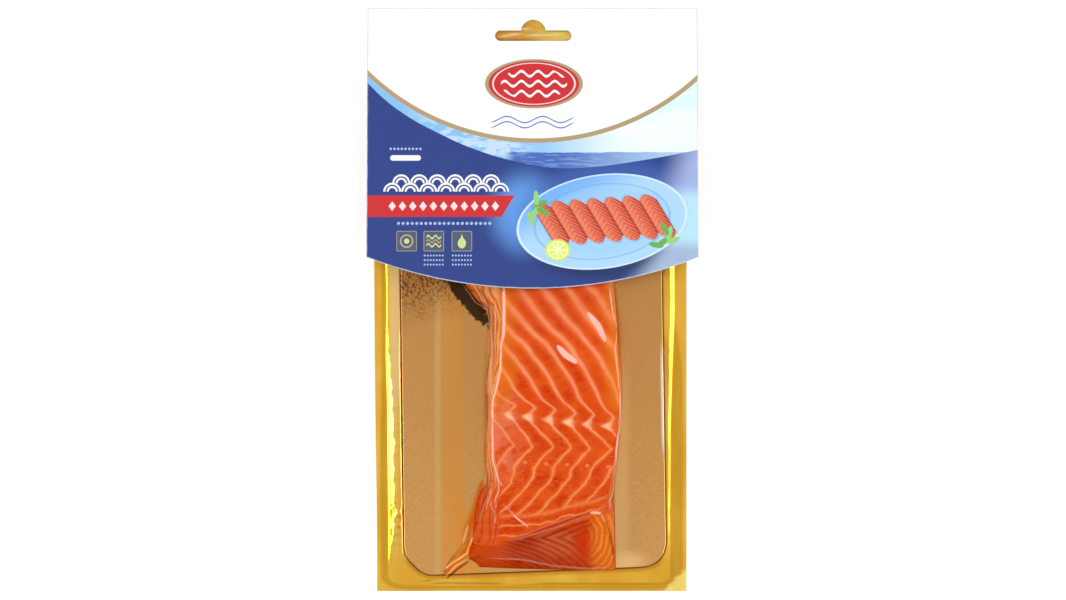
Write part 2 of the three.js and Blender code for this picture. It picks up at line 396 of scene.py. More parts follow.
floor_x, floor_y = np.meshgrid([-FLOOR_HALF, FLOOR_HALF], [-FLOOR_HALF, FLOOR_HALF])
floor = sheet_piece("floor", np.stack([floor_x, floor_y, np.full_like(floor_x, FLOOR_LEVEL)], -1))
floor.data.materials.append(paper("floor_paper", 60, 2.0, colour(244, 244, 243), colour(250, 250, 249),
                                  Roughness=0.8, Emission_Color=(1, 1, 1, 1), Emission_Strength=0.35))

# %% [markdown]
# ## Header card
#
# The card is one printed strip, folded over the top of the pouch. Its front panel climbs over the fish and
# ends in a long curve, its sides sag where nothing holds them up, and its back panel lies flat. The frame's
# card has broad facets, which would break a glossy reflection, so a fine grid of the same form replaces it.

# %% Sizes from the frame
CARD_RIGHT, PACK_TOP = (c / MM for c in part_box("header_card")[1][:2])
PACK_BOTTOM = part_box("gold_back_film")[0][1] / MM
CARD_THICK = 0.4
CARD_BELLY = 13  # the curved lower edge hangs this far below its corners
CARD_EDGE_RADIUS = (CARD_RIGHT ** 2 + CARD_BELLY ** 2) / (2 * CARD_BELLY)
BACK_PANEL = 105  # length of the flat panel behind
FOLD_RADIUS = 1.15
FOLD_Y = PACK_TOP - FOLD_RADIUS
CARD_RISE = 24.6
CARD_BOW = 0.12
CARD_LOWEST = PACK_TOP - BACK_PANEL - CARD_BELLY
FREE_LEFT, FREE_RIGHT = 16, 30  # beyond these the fish doesn't hold the card up
SAG_LEFT, SAG_RIGHT = 2.2, 3.4
FRONT_ROWS, FOLD_ROWS, BACK_ROWS = 120, 13, 60
CARD_COLUMNS = 94
print("pack runs from y", round(PACK_BOTTOM, 1), "to", round(PACK_TOP, 1), "mm")


# %% The folded strip
def front_edge(x):
    return CARD_LOWEST + CARD_EDGE_RADIUS - np.sqrt(CARD_EDGE_RADIUS ** 2 - x ** 2)


def front_height(x, y):
    climb = (FOLD_Y - y) / (BACK_PANEL + CARD_BELLY - FOLD_RADIUS)
    left = np.clip((-FREE_LEFT - x) / (CARD_RIGHT - FREE_LEFT), 0, 1)
    right = np.clip((x - FREE_RIGHT) / (CARD_RIGHT - FREE_RIGHT), 0, 1)
    sag = climb * (SAG_LEFT * left ** 2 + SAG_RIGHT * right ** 2)
    return 2 * FOLD_RADIUS + CARD_RISE * ((1 + CARD_BOW) * climb - CARD_BOW * climb ** 2) - sag


def card_face(inward):
    """One face of the strip, from the front's curved edge up over the fold and down behind."""
    x = np.linspace(-CARD_RIGHT, CARD_RIGHT, CARD_COLUMNS)
    level = np.zeros_like(x)
    rows = []
    for t in np.linspace(0, 1, FRONT_ROWS):
        y = mix(front_edge(x), FOLD_Y, t)
        wave = 0.12 * (1 - t) * smooth_step(t * 12) * ripple(x, y, 34, 3)
        rows.append([x, y, front_height(x, y) - inward + wave])
    radius = FOLD_RADIUS - inward
    for turn in np.linspace(0, math.pi, FOLD_ROWS + 2)[1:-1]:
        y, z = FOLD_Y + radius * math.sin(turn), FOLD_RADIUS + radius * math.cos(turn)
        rows.append([x, level + y, level + z])
    for y in np.linspace(FOLD_Y, PACK_TOP - BACK_PANEL, BACK_ROWS):
        rows.append([x, level + y, level + inward])
    return np.array(rows).transpose(0, 2, 1)


SLOT_X = 0.3
SLOT_Y = PACK_TOP - 12
SLOT_HALF = 16
SLOT_END = 2.2
HUMP_RADIUS = 5.2
HUMP_RISE = 1.5


def slot_outline():
    """Points round the hanging slot: two round ends, and a hump in the middle of its upper side."""
    reach = SLOT_HALF - SLOT_END
    angle = math.atan2(SLOT_END - HUMP_RISE, math.sqrt(HUMP_RADIUS ** 2 - (SLOT_END - HUMP_RISE) ** 2))
    arcs = [(reach, 0, SLOT_END, -math.pi / 2, math.pi / 2),
            (0, HUMP_RISE, HUMP_RADIUS, angle, math.pi - angle),
            (-reach, 0, SLOT_END, math.pi / 2, math.pi * 1.5)]
    points = []
    for x, y, radius, start, end in arcs:
        turn = np.linspace(start, end, 25)
        points.extend(zip(x + radius * np.cos(turn), y + radius * np.sin(turn)))
    return np.array(points) + (SLOT_X, SLOT_Y)


def prism(name, outline, low, high):
    """A closed straight-sided piece over an outline."""
    ring = np.arange(len(outline))
    around = np.roll(ring, -1)
    points = np.concatenate([np.column_stack([outline, np.full(len(outline), z)]) for z in (low, high)])
    sides = np.stack([ring, around, around + len(ring), ring + len(ring)], -1).tolist()
    return new_object(name, points, [ring[::-1].tolist(), (ring + len(ring)).tolist(), *sides])


def apply_modifiers(piece):
    """Keeps what the modifiers made as the piece's own mesh."""
    evaluated = piece.evaluated_get(bpy.context.evaluated_depsgraph_get())
    made = bpy.data.meshes.new_from_object(evaluated)
    piece.modifiers.clear()
    piece.data = made


def set_finishes(piece, finish):
    """Gives each face the number of its finish. The materials themselves come later."""
    for number in FINISHES:
        piece.data.materials.append(None)
    piece.data.polygons.foreach_set("material_index", finish.astype(np.int32))


FINISHES = range(4)
PRINTED_FRONT, PRINTED_BACK, BARE_CARD, CUT_EDGE = FINISHES
outside, inside = card_face(0), card_face(CARD_THICK)
card = slab_piece("header_card_folded", outside, inside)
rows, cells_in_row = outside.shape[0] - 1, outside.shape[1] - 1
all_cells = rows * cells_in_row
front_cells = (FRONT_ROWS + FOLD_ROWS // 2) * cells_in_row
finish = np.full(len(card.data.polygons), CUT_EDGE)
finish[:front_cells] = PRINTED_FRONT
finish[front_cells:all_cells] = PRINTED_BACK
finish[all_cells:2 * all_cells] = BARE_CARD
set_finishes(card, finish)

cutter = prism("slot_cutter", slot_outline(), -5, 15)
set_finishes(cutter, np.full(len(cutter.data.polygons), CUT_EDGE))
cut = card.modifiers.new("hanging_slot", "BOOLEAN")
cut.operation = "DIFFERENCE"
cut.solver = "EXACT"
cut.object = cutter
bpy.context.view_layer.update()
apply_modifiers(card)
bpy.data.objects.remove(cutter)
card.data.set_sharp_from_angle(angle=math.radians(40))
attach(card, "root")
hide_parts("header_card")
print("card after cutting:", len(card.data.polygons), "faces")

# %% [markdown]
# ## The card's print
#
# Four-colour print is fields of colour with crisp edges. A picture file would do, but formulas stay sharp at
# any distance and need no unwrapping. Each shape below is a distance: negative inside, positive outside, in
# millimetres. `below` turns a distance into an inked area, and inks are laid one over another, as a press
# does. The design is a plain one: sea, sky, a plate of sliced fish and ornaments, with no words.

# %% Shapes as distances
INK_EDGE = 0.22


def hypot(u, v):
    return (u * u + v * v).math("SQRT")


def turned(x, y, centre, degrees):
    """Coordinates from a centre, along and across a direction."""
    c, s = math.cos(math.radians(degrees)), math.sin(math.radians(degrees))
    return (x - centre[0]) * c + (y - centre[1]) * s, (y - centre[1]) * c - (x - centre[0]) * s


def oval(x, y, centre, radii, degrees=0):
    u, v = turned(x, y, centre, degrees)
    return (hypot(u / radii[0], v / radii[1]) - 1) * min(radii)


def block(x, y, centre, half, rounding=0.3, degrees=0):
    """A rectangle with round corners."""
    u, v = turned(x, y, centre, degrees)
    over_u = (u.size() - (half[0] - rounding)).math("MAXIMUM", 0.0)
    over_v = (v.size() - (half[1] - rounding)).math("MAXIMUM", 0.0)
    return hypot(over_u, over_v) - rounding


def inked(distance, soft=INK_EDGE):
    return distance.below(0, soft)


def outlined(distance, width, soft=INK_EDGE):
    return distance.size().below(width / 2, soft)


def row_of(x, y, centre, count, pitch):
    """Coordinates within each cell of a row, and a mask that is 1 in the row's cells. count is odd."""
    u = x - centre[0]
    return u.repeat(pitch), y - centre[1], u.size().below(count * pitch / 2, 0.01)


class Print(Layers):
    """Inks on card."""

    def dots(self, x, y, centre, count, pitch, radius, ink):
        u, v, within = row_of(x, y, centre, count, pitch)
        self.lay(inked(hypot(u, v) - radius) * within, ink)


# %% [markdown]
# The front's upper part is white inside one big circle, whose tan rim shows as a shallow arc. Below it lies
# a band of sky, cloud and sea, and then the deep blue ground, lit round the plate. Along the card's right
# side the blue is paler, a painted sheen. The band's lower edge is a curve through places measured on the
# card.

# %% Front print: ground
WHITE = colour(254, 254, 255)
TAN = colour(182, 158, 118)
DEEP_BLUE = colour(41, 64, 137)
RED = colour(208, 42, 48)
ARC_CENTRE = (1.05, 166.6)
ARC_RADII = (99.4, 101.3)
BAND_EDGE = [(-69.3, 90.9), (-54.8, 78.2), (-39.1, 69.3), (-22.3, 62), (-5.7, 57.2), (9, 54.8), (23.7, 55.1),
             (44.5, 57.8), (69.3, 62.5)]
HORIZON_Y = 61.4

front, front_shader, (front_place, x, y, _) = new_material("card_front")
sky = Print(blend_colours(x.above(18, 55), colour(132, 196, 250), colour(240, 253, 254)))
sky.lay((y - x * 0.2).above(66, 14) * x.above(40, 20), colour(196, 243, 252), 0.5)
sea = Print(blend_colours(x.above(36, 60), colour(74, 108, 190), colour(178, 211, 246)))
swell = noise(front_place, 2.6, 3.0, (0.35, 3.0, 1)).above(0.56, 0.12)
sea.lay(swell, colour(150, 196, 244), 0.4)

band = Print(blend_colours(x.above(-6, 10), colour(137, 196, 247), sky.top))
foam = (noise(front_place, 3.2, 5.0, (0.6, 1.3, 1)) + x.above(-30, 26) * 0.06).above(0.52, 0.12)
band.lay(foam * x.above(-46, 22) * x.below(-2, 12) * y.above(59, 3), colour(214, 234, 249), 0.75)
cloud = noise(front_place, 9, 4.0, (0.5, 1.6, 1)).above(0.52, 0.3)
band.lay(cloud * x.above(30, 20) * y.above(64, 8), colour(250, 255, 255), 0.7)
shore = y + noise(front_place, 6, 2.0, (1, 0, 1)) * 1.2
band.lay(shore.below(HORIZON_Y + 0.6, 0.3) * x.above(-10, 6), sea.top)

# Painted sheen: where the card sags to the right its blue is paler, and greyer below the plate.
right_light = Print(blend_colours(y.above(45, 9), colour(186, 230, 252), colour(163, 180, 228)))
right_light.lay(y.below(23, 8), colour(164, 186, 216))
blue = Print(DEEP_BLUE)
blue.lay(hypot((x + 3) / 13, (y - 36) / 15).below(0.88, 1.3), colour(108, 170, 246))
blue.lay(oval(x, y, (29, 36), (38, 21), 8).below(0, 7), colour(66, 104, 186), 0.6)
blue.lay((x - (y - 50) * 0.35).above(58.5, 17), right_light.top)

front_print = Print(WHITE)
arc = hypot(x - ARC_CENTRE[0], y - ARC_CENTRE[1])
front_print.lay(arc.above(ARC_RADII[1], INK_EDGE), band.top)
front_print.lay(inked(y - x.curve(BAND_EDGE, -69.3, 69.3, 50, 95)), blue.top)
front_print.lay(arc.above(ARC_RADII[0], INK_EDGE) * arc.below(ARC_RADII[1], INK_EDGE), TAN)

# %% [markdown]
# A plate of sliced trout stands for what is inside. The slices are one row of cells: within a cell, colour
# runs from the pale upper edge of a slice to its dark lower edge, so they look laid one on another.

# %% Front print: the plate
PLATE = (29, 32.4)
PLATE_RADII = (36, 19.7)
PLATE_TURN = 8
SLICE_PITCH = 7.4
SLICE_HALF_ROW = 26
plate_shadow = oval(x, y, (31, 28), (35, 19.4), PLATE_TURN).below(-0.6, 6) * (x - y * 0.6).below(40, 16)
front_print.lay(plate_shadow, colour(30, 46, 92), 0.85)
plate = oval(x, y, PLATE, PLATE_RADII, PLATE_TURN)
glaze = blend_colours((y * 0.9 - x * 0.5).above(28, 18), colour(176, 218, 250), colour(118, 180, 248))
front_print.lay(inked(plate), glaze)
front_print.lay(outlined(plate + 0.35, 0.5), colour(222, 242, 255), 0.9)
front_print.lay(outlined(plate + 4.2, 0.4, 0.8), colour(96, 150, 220), 0.6)
front_print.lay((plate + 4.2).below(-1.2, 5), colour(152, 206, 250), 0.5)

along_row, across_row = turned(x, y, (30, 33), 4)
slanted = along_row + across_row * 0.5
cell = slanted.repeat(SLICE_PITCH)
rounding = (cell / SLICE_PITCH * 2).math("POWER", 2.0) * 2.6
slices = (across_row.size() + rounding - 9.4).math("MAXIMUM", slanted.size() - SLICE_HALF_ROW + 0.1)
front_print.lay((slices - 0.2).below(0, 2.2), colour(60, 84, 130), 0.5)
slice_ink = Print(blend_colours(cell.above(0, SLICE_PITCH * 1.1), colour(240, 128, 92), colour(204, 52, 36)))
stripes = (across_row + cell.size() * 0.9 + noise(front_place, 3) * 1.4).repeat(1.9)
slice_ink.lay(stripes.size().below(0.28, 0.3), colour(246, 170, 130), 0.45)
slice_ink.lay((cell.size() - SLICE_PITCH / 2 + 0.5).above(0, 0.5), colour(150, 40, 30), 0.7)
front_print.lay(inked(slices), slice_ink.top)

LEMON = (10.5, 20.5)
LEMON_RADIUS = 5.2
LEMON_SEGMENTS = 8
wheel = oval(x, y, LEMON, (LEMON_RADIUS, LEMON_RADIUS * 0.86))
lemon_x, lemon_y = x - LEMON[0], y - LEMON[1]
angle = lemon_y.math("ARCTAN2", lemon_x).repeat(2 * math.pi / LEMON_SEGMENTS)
spoke = angle.size() * hypot(lemon_x, lemon_y)
front_print.lay(inked(wheel), colour(214, 232, 96))
front_print.lay(inked(wheel + 0.7), colour(246, 252, 196))
front_print.lay(inked(wheel + 1.1) * spoke.above(0.3, 0.3), colour(226, 240, 130))
LEAVES = [(54.5, 24, 30), (57, 27.5, 75), (51.5, 22.6, -10), (58.5, 24.6, 20), (55, 29.4, 120),
          (1.2, 36.5, 60), (3.4, 39.8, 20), (-0.6, 33.4, 110), (4.6, 36.4, -25), (1.6, 42.2, 95)]
for number, (leaf_x, leaf_y, turn) in enumerate(LEAVES):
    leaf = oval(x, y, (leaf_x, leaf_y), (3.1, 1.15), turn)
    front_print.lay(inked(leaf), colour(150, 214, 120) if number % 2 else colour(104, 178, 84))

# %% [markdown]
# Ornaments fill the rest of the card at the size and in the colours of a pack like this: a red badge with
# waves, a row of scallops, a red ribbon with lozenges, rows of dots and three small framed signs.

# %% Front print: ornaments
BADGE = (0.6, 90.2)
BADGE_RADII = (20.5, 10.4)
badge = oval(x, y, BADGE, BADGE_RADII)
front_print.lay(inked(badge), TAN)
front_print.lay(inked(badge + 0.8), RED)
front_print.lay(outlined(badge + 1.7, 0.35), WHITE, 0.8)
crest = ((x - BADGE[0]) * 0.9).math("SINE") * 1.1
for level in (-4.2, 0, 4.2):
    wave = (y - BADGE[1] - level - crest).size() - 0.55
    front_print.lay(inked(wave) * inked(badge + 3.4), WHITE)
flourish = ((x - 0.5) * 0.42).math("SINE") * 1.3
for level in (72.9, 75.1):
    front_print.lay(inked((y - level - flourish).size() - 0.26) * x.size().below(17, 3), colour(76, 104, 190))

SCALLOP = 7.5
for offset, level in ((SCALLOP / 2, 48.4), (0, 44.9)):
    u, v, within = row_of(x, y, (-36 + offset, level), 7, SCALLOP)
    ring = hypot(u, v)
    within = within * x.below(-9.7 - offset, 0.01)
    front_print.lay(inked(ring - SCALLOP / 2) * within * v.above(0, 0.2), DEEP_BLUE)
    for radius in (3.3, 1.9):
        front_print.lay(outlined(ring - radius, 0.8) * within * v.above(0, 0.2), WHITE)

RIBBON_Y = 38.8
ribbon = (y - RIBBON_Y).size() - 4.5
ribbon_end = x - (y - RIBBON_Y) * 0.6 + 10.2
front_print.lay(inked(ribbon) * inked(ribbon_end), RED)
u, v, within = row_of(x, y, (-37, RIBBON_Y), 11, 4.3)
front_print.lay(inked((u.size() * 1.3 + v.size()) * 0.7 - 1.4) * within, colour(255, 226, 226))
PALE_INK = colour(176, 196, 238)
front_print.dots(x, y, (-36.8, 31.6), 21, 1.9, 0.62, PALE_INK)
front_print.dots(x, y, (-53, 62.8), 9, 1.55, 0.5, PALE_INK)
front_print.lay(inked(block(x, y, (-53, 59), (6.4, 1.15), 1.1)), colour(244, 247, 254))

SIGNS = [(-52.4, 24.2), (-41.1, 24.2), (-29.4, 24.2)]
SIGN_GREEN = colour(206, 226, 150)
for centre in SIGNS:
    frame_line = block(x, y, centre, (4.1, 4.1), 0.4)
    front_print.lay(inked(frame_line), colour(92, 98, 108), 0.75)
    front_print.lay(outlined(frame_line, 0.3), colour(176, 164, 132), 0.9)
sun = hypot(x - SIGNS[0][0], y - SIGNS[0][1])
front_print.lay(outlined(sun - 2.5, 0.6), colour(190, 178, 140))
front_print.lay(inked(sun - 1.1), SIGN_GREEN)
ripples = ((x - SIGNS[1][0]) * 2.1).math("SINE") * 0.6
for level in (-1.7, 0, 1.7):
    bar = (y - SIGNS[1][1] - level - ripples).size() - 0.38
    front_print.lay(inked(bar) * inked(block(x, y, SIGNS[1], (3.1, 3.1))), SIGN_GREEN if level else TAN)
drop_x, drop_y = x - SIGNS[2][0], y - SIGNS[2][1]
drop = hypot(drop_x, (drop_y + 0.9) * 0.8) - 1.7
tip_half = drop_y.node("ShaderNodeMapRange", drop_y, -2.6, 3, 1.9, 0)
tip = (drop_x.size() - tip_half).math("MAXIMUM", (drop_y - 0.9).size() - 1.9)
front_print.lay(inked(drop.math("MINIMUM", tip)), SIGN_GREEN)
for column, _ in SIGNS[1:]:
    for level in (18.2, 16.3, 14.4):
        front_print.dots(x, y, (column, level), 7, 1.25, 0.38, PALE_INK)

# %% [markdown]
# Handling rubs the ink off a card's edges first, so a thin, broken pale line runs round the front. Towards
# the white top the same line is grey, painted shade along the card's edge. The coat is glossy, and slightly
# uneven in its gloss.

# %% Front's finish
side_distance = (x.size() * -1 + CARD_RIGHT).math("MINIMUM", y * -1 + PACK_TOP)
curve_distance = hypot(x, y - (CARD_LOWEST + CARD_EDGE_RADIUS)) * -1 + CARD_EDGE_RADIUS
edge_distance = side_distance.math("MINIMUM", curve_distance)
# Pale where ink is worn off the blue, and grey towards the white top: painted shade along the card's edge.
rubbed = (edge_distance + noise(front_place, 2.5, 3.0) * 0.5).below(0.62, 0.35)
rubbed_colour = blend_colours(y.above(70, 30), colour(226, 228, 236), colour(192, 193, 196))
front_print.lay(rubbed, rubbed_colour, 0.7)
connect(front_print.top, front_shader, "Base Color")
connect(noise(front_place, 12, 3.0) * 0.08 + 0.22, front_shader, "Roughness")
set_numbers(front_shader, Specular_IOR_Level=0.45)
add_bump(front_shader, noise(front_place, 16, 2.0), 0.25)

# %% Back's, inside's and edge's finish
back, back_shader, (back_place, x, y, _) = new_material("card_back")
back_print = Print(DEEP_BLUE)
back_print.lay(y.above(88, INK_EDGE), WHITE)
back_print.lay(outlined(y - 87.4, 1.6), TAN)
back_print.lay(inked(block(x, y, (0, 72), (60, 4), 1.2)), RED)
for level in np.arange(28, 62, 3.4):
    back_print.dots(x, y, (0, float(level)), 61, 1.9, 0.55, PALE_INK)
back_print.lay(inked(block(x, y, (44, 101), (14, 8), 1)), colour(216, 224, 240))
connect(back_print.top, back_shader, "Base Color")
connect(noise(back_place, 12, 3.0) * 0.08 + 0.24, back_shader, "Roughness")

bare = paper("bare_card", 1.2, 4.0, colour(134, 126, 112), colour(172, 164, 148), Roughness=0.85)
edge = paper("cut_edge", 0.8, 3.0, colour(214, 210, 202), colour(240, 238, 232), Roughness=0.8)
for number, material in ((PRINTED_FRONT, front), (PRINTED_BACK, back), (BARE_CARD, bare), (CUT_EDGE, edge)):
    card.data.materials[number] = material
print("front print:", len(front.node_tree.nodes), "nodes")

# %% [markdown]
# ## Vacuum pouch
#
# The pouch's lower edge touches the surface, and its upper part lies on the card's back panel, so the whole
# pouch leans by a fraction of a degree. Its pieces are shaped lying flat, measured from its lower edge, and
# then leant all at once.

# %% The pouch's lean and its levels
FILM_THICK = 0.4
BOARD_THICK = 0.8
GAP = 0.3
LEAN = math.atan((CARD_THICK + GAP) / (PACK_TOP - PACK_BOTTOM - BACK_PANEL))
BOARD_BASE = FILM_THICK + GAP
BOARD_TOP = BOARD_BASE + BOARD_THICK
FILLET_BASE = BOARD_TOP + GAP


def lean(points):
    """Turns points of the flat pouch about its lower edge."""
    x, y, z = np.moveaxis(np.asarray(points, float), -1, 0)
    along = y - PACK_BOTTOM
    return np.stack([x, PACK_BOTTOM + along * math.cos(LEAN) - z * math.sin(LEAN),
                     along * math.sin(LEAN) + z * math.cos(LEAN)], -1)


# %% [markdown]
# The board is stiff laminate: a flat piece with round corners. Its outline is four straight sides whose
# corners are cut by curves, and its edges are eased a little, as a die leaves them. Its two big faces are
# shaded flat: smooth shading would bend their reflection towards the eased edges.

# %% Gold board
BOARD_CORNERS = [  # (x, y, how far the rounding reaches); the lower left one is cut, then rounded
    (-53.75, -107.6, 4), (-45.4, -115.85, 4), (56.1, -112, 11.5), (52.8, 100, 10.5), (-56.4, 100, 10.5)]


def board_outline():
    corners = np.array(BOARD_CORNERS)[:, :2]
    points = []
    for (x, y, reach), before, after in zip(BOARD_CORNERS, np.roll(corners, 1, 0), np.roll(corners, -1, 0)):
        corner = np.array((x, y))
        start = corner + reach * (before - corner) / np.linalg.norm(before - corner)
        end = corner + reach * (after - corner) / np.linalg.norm(after - corner)
        for t in np.linspace(0, 1, 13):
            points.append(mix(mix(start, corner, t), mix(corner, end, t), t))
    return np.array(points)


def board_distance(x, y):
    """How far outside the board a place is, negative on the board."""
    outline = board_outline()
    nearest, inside = np.full(x.shape, FAR), np.full(x.shape, True)
    for start, run in zip(outline, np.roll(outline, -1, 0) - outline):
        t = np.clip(((x - start[0]) * run[0] + (y - start[1]) * run[1]) / (run @ run), 0, 1)
        nearest = np.minimum(nearest, np.hypot(x - start[0] - t * run[0], y - start[1] - t * run[1]))
        inside &= run[0] * (y - start[1]) > run[1] * (x - start[0])
    return np.where(inside, -nearest, nearest)


board = prism("gold_laminate_board", board_outline(), BOARD_BASE, BOARD_TOP)
for vertex in board.data.vertices:
    vertex.co = lean(np.array(vertex.co) / MM) * MM
ease = board.modifiers.new("eased_edge", "BEVEL")
ease.width = 0.18 * MM
ease.segments = 2
ease.limit_method = "ANGLE"
apply_modifiers(board)
board.data.set_sharp_from_angle(angle=math.radians(25))
for face in board.data.polygons:
    face.use_smooth = abs(face.normal.z) < 0.99
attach(board, "root")
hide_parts("gold_board")

# %% [markdown]
# The rim is where the gold film and the clear film are sealed together. It has a flat, dull seal outside,
# then a crease, and a bright slope whose inner side is scalloped, because the films shrank as the air was
# drawn out. The creases are in the mesh: painted ones would not glint as the pack turns. Some of their
# highlights and shade are painted into the gold's colour as well.

# %% Gold film
POUCH_LEFT = [(-122.5, -65.2), (-92, -65.3), (-59, -65.8), (-21, -66.2), (120, -67.2)]  # (y, x)
POUCH_RIGHT = 64.6
POUCH_TOP = PACK_TOP - 3
LOWER_NARROWING = 1.9  # the rim below the board is this much narrower than at the sides
RIM_ROUND = 12
LEFT_START = 4.7  # inset of the bright slope's outer edge
RIGHT_START = [(-95, 6.9), (-60, 6.7), (-35, 6.0), (-8, 5.0)]  # (y, inset), and (y, width) below
LEFT_WIDTH = [(-112, 0.3), (-104, 1.5), (-92, 2.8), (-60, 3.2), (-42, 2.6), (-15, 1.2), (20, 0.9)]
RIGHT_WIDTH = [(-104, 0.3), (-95, 0.8), (-60, 1.3), (-35, 1.7), (-8, 2.6)]
LEFT_SHELF = 10.5  # the left rim stays level up to this inset, and then drops to the board
SLOPE = 0.36
SLOPE_ENDS = 11.2
SIDE_RIM = 14  # the side rims with the film that drops from them
SLOT_CREASE = [(-15.3, 110.5), (-8.6, 110.3), (-7.9, 111.1), (-4.3, 113.7), (-2.2, 113.4), (-0.1, 111.1),
               (1.9, 110.7), (4.5, 110.7), (9.7, 111.1), (12, 108.8)]
TAIL_CREASE = [(-47.2, -115.8), (-44.3, -117.9), (-41.6, -119.3), (-37.8, -119.1), (-10, -119.4)]


def rim_inset(x, y):
    """How far in from the pouch's edge a place is, counted as on the wide side rims, rounding the corners."""
    side = np.minimum(x - through(POUCH_LEFT, y), POUCH_RIGHT - x)
    lower = LOWER_NARROWING * (y - PACK_BOTTOM)
    to_side, to_lower = RIM_ROUND - np.clip(side, 0, RIM_ROUND), RIM_ROUND - np.clip(lower, 0, RIM_ROUND)
    at_corner = (to_side > 0) & (to_lower > 0)
    inset = np.where(at_corner, RIM_ROUND - np.hypot(to_side, to_lower), np.minimum(side, lower))
    return np.clip(np.minimum(inset, POUCH_TOP - y), 0, None)


def pinches(along, pitch, seed):
    """Scallops along the rim from 0 to 1, sharp between soft ones, a pitch apart and uneven."""
    shifted = along / pitch + 0.35 * ripple(along, 0 * along, 1.7 * pitch, seed)
    size = 0.55 + 0.45 * ripple(along, 0 * along, 2.3 * pitch, seed + 1)
    return size * np.abs(np.sin(math.pi * shifted)) ** 0.8


def share_of_right(x):
    """0 on the pouch's left half and 1 on its right half, with a soft change."""
    return smooth_step((x + 10) / 20)


def slope_start(x, y):
    return mix(LEFT_START, through(RIGHT_START, y), share_of_right(x))


def rim_height(x, y):
    """Relief of the sealed rim above the flat film."""
    inset = rim_inset(x, y) + 0.25 * ripple(x, y, (9, 23), 5)
    at_right = share_of_right(x)
    beside = smooth_step((SIDE_RIM - np.minimum(x + 65, POUCH_RIGHT - x)) / 6)
    along = np.where(beside > 0.5, y, x)
    start = slope_start(x, y)
    width = mix(through(LEFT_WIDTH, y), through(RIGHT_WIDTH, y), at_right)
    scallops = 0.4 * pinches(along, 9.6, 11) + 0.25 * pinches(along, 3.6, 13)
    width = width * (0.7 + mix(1, 0.4, at_right) * scallops)
    climb = SLOPE * np.clip(inset - start, 0, width)
    falls_from = mix(LEFT_SHELF, start + width, at_right)
    fall = np.clip((inset - falls_from) / (SLOPE_ENDS - falls_from), 0, 1)
    height = climb * (1 - fall) * mix(0.3, 1, beside)
    restless = bell((y + 90) / 20) * beside * mix(1, 0.25, at_right)
    folds = 0.5 * bell((inset - 8.2) / 3.2) * ripple(x, y, (3.1, 2.7), 8) * (restless + 0.08)
    creases = 0.05 * bell((inset - 2.6) / 2.6) * (1 + ripple(x, y, (6, 16), 9))
    lower_fold = 0.13 * bell((y + 118.9 + 0.5 * ripple(x, 0 * x, 19, 15)) / 0.9) * (1 - beside) * at_right
    at_slot = 0.1 * bell(np.hypot(x / 22, (y - 111) / 9)) * (1 + ripple(x, y, (6, 1.5), 14))
    drawn = 0.12 * crease(x, y, SLOT_CREASE, 0.6) - 0.15 * crease(x, y, TAIL_CREASE, 0.7)
    return np.clip(height + folds + creases + lower_fold + at_slot + drawn, 0, None)


def rim_tints(x, y):
    """Shares of olive, which is painted shade, and of pale strips with painted highlights on the rim, as on
    the real pouch.
    """
    inset = rim_inset(x, y)
    # Olive is painted shade on the seal's inner part, before the bright slope.
    dull_left = mix(2.4, 0.9, smooth_step((-10 - y) / 70))
    dull_right = mix(4, 0.8, smooth_step((-5 - y) / 30))
    dull_from = mix(dull_left, dull_right, share_of_right(x))
    olive = smooth_step((inset - dull_from) / 1.3) * smooth_step((slope_start(x, y) + 0.3 - inset) / 0.6)
    # A pale beige strip inside the left bright slope, and a painted highlight line by the board's right edge.
    left_haze = smooth_step((inset - 5.8) / 0.8) * mix(1, 0.3, smooth_step((-34 - y) / 24)) * (x < 0)
    right_haze = bell((inset - 9.3) / 1.5) * (x > 0)
    right_haze = right_haze * smooth_step((-18 - y) / 14) * smooth_step((y + 80) / 16)
    # Painted highlight across the lower right corner.
    let_go = smooth_step((0.73 * (x - 64.2) - 0.69 * (y + 112) + 0.8 * ripple(x, y, 1.6, 17)) / 1.6)
    haze = (left_haze + right_haze) * smooth_step((y + 114) / 10) + 0.9 * let_go
    return olive, np.clip(haze, 0, 1)


RIM_SHARE = 0.1  # of the width, at each side, that gets fine cells
RIM_CELL = 0.0027
FINE_BELOW = -60  # y under which the rows are closer together


def film_stations():
    """Shares of the way across, close together at both rims, and the rows' places in y."""
    left = np.arange(0, RIM_SHARE, RIM_CELL)
    middle = np.linspace(RIM_SHARE, 1 - RIM_SHARE, 26)[:-1]
    right = np.arange(1, 1 - RIM_SHARE, -RIM_CELL)[::-1]
    lower, upper = np.arange(PACK_BOTTOM, FINE_BELOW, 0.42), np.arange(FINE_BELOW, POUCH_TOP + 0.01, 0.5)
    rows = np.concatenate([lower, upper])
    rows[-1] = POUCH_TOP
    return np.concatenate([left, middle, right]), rows


across, rows = film_stations()
film_x = mix(through(POUCH_LEFT, rows)[:, None], POUCH_RIGHT, across[None, :])
film_y = np.broadcast_to(rows[:, None], film_x.shape)
relief = rim_height(film_x, film_y)
gold_top = lean(np.stack([film_x, film_y, relief + FILM_THICK], -1))
gold_film = slab_piece("gold_film", gold_top, lean(np.stack([film_x, film_y, relief * 0.98], -1)))
gold_film.data.set_sharp_from_angle(angle=math.radians(60))
leant_x, leant_y, _ = np.moveaxis(gold_top, -1, 0)
olive, haze = rim_tints(leant_x, leant_y)
store(gold_film, rim_inset=rim_inset(film_x, film_y), off_board=board_distance(leant_x, leant_y),
      olive=olive, haze=haze, slot_crease=crease(leant_x, leant_y, SLOT_CREASE, 0.75),
      tail_crease=crease(leant_x, leant_y, TAIL_CREASE, 0.6))
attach(gold_film, "root")
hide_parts("gold_back_film")

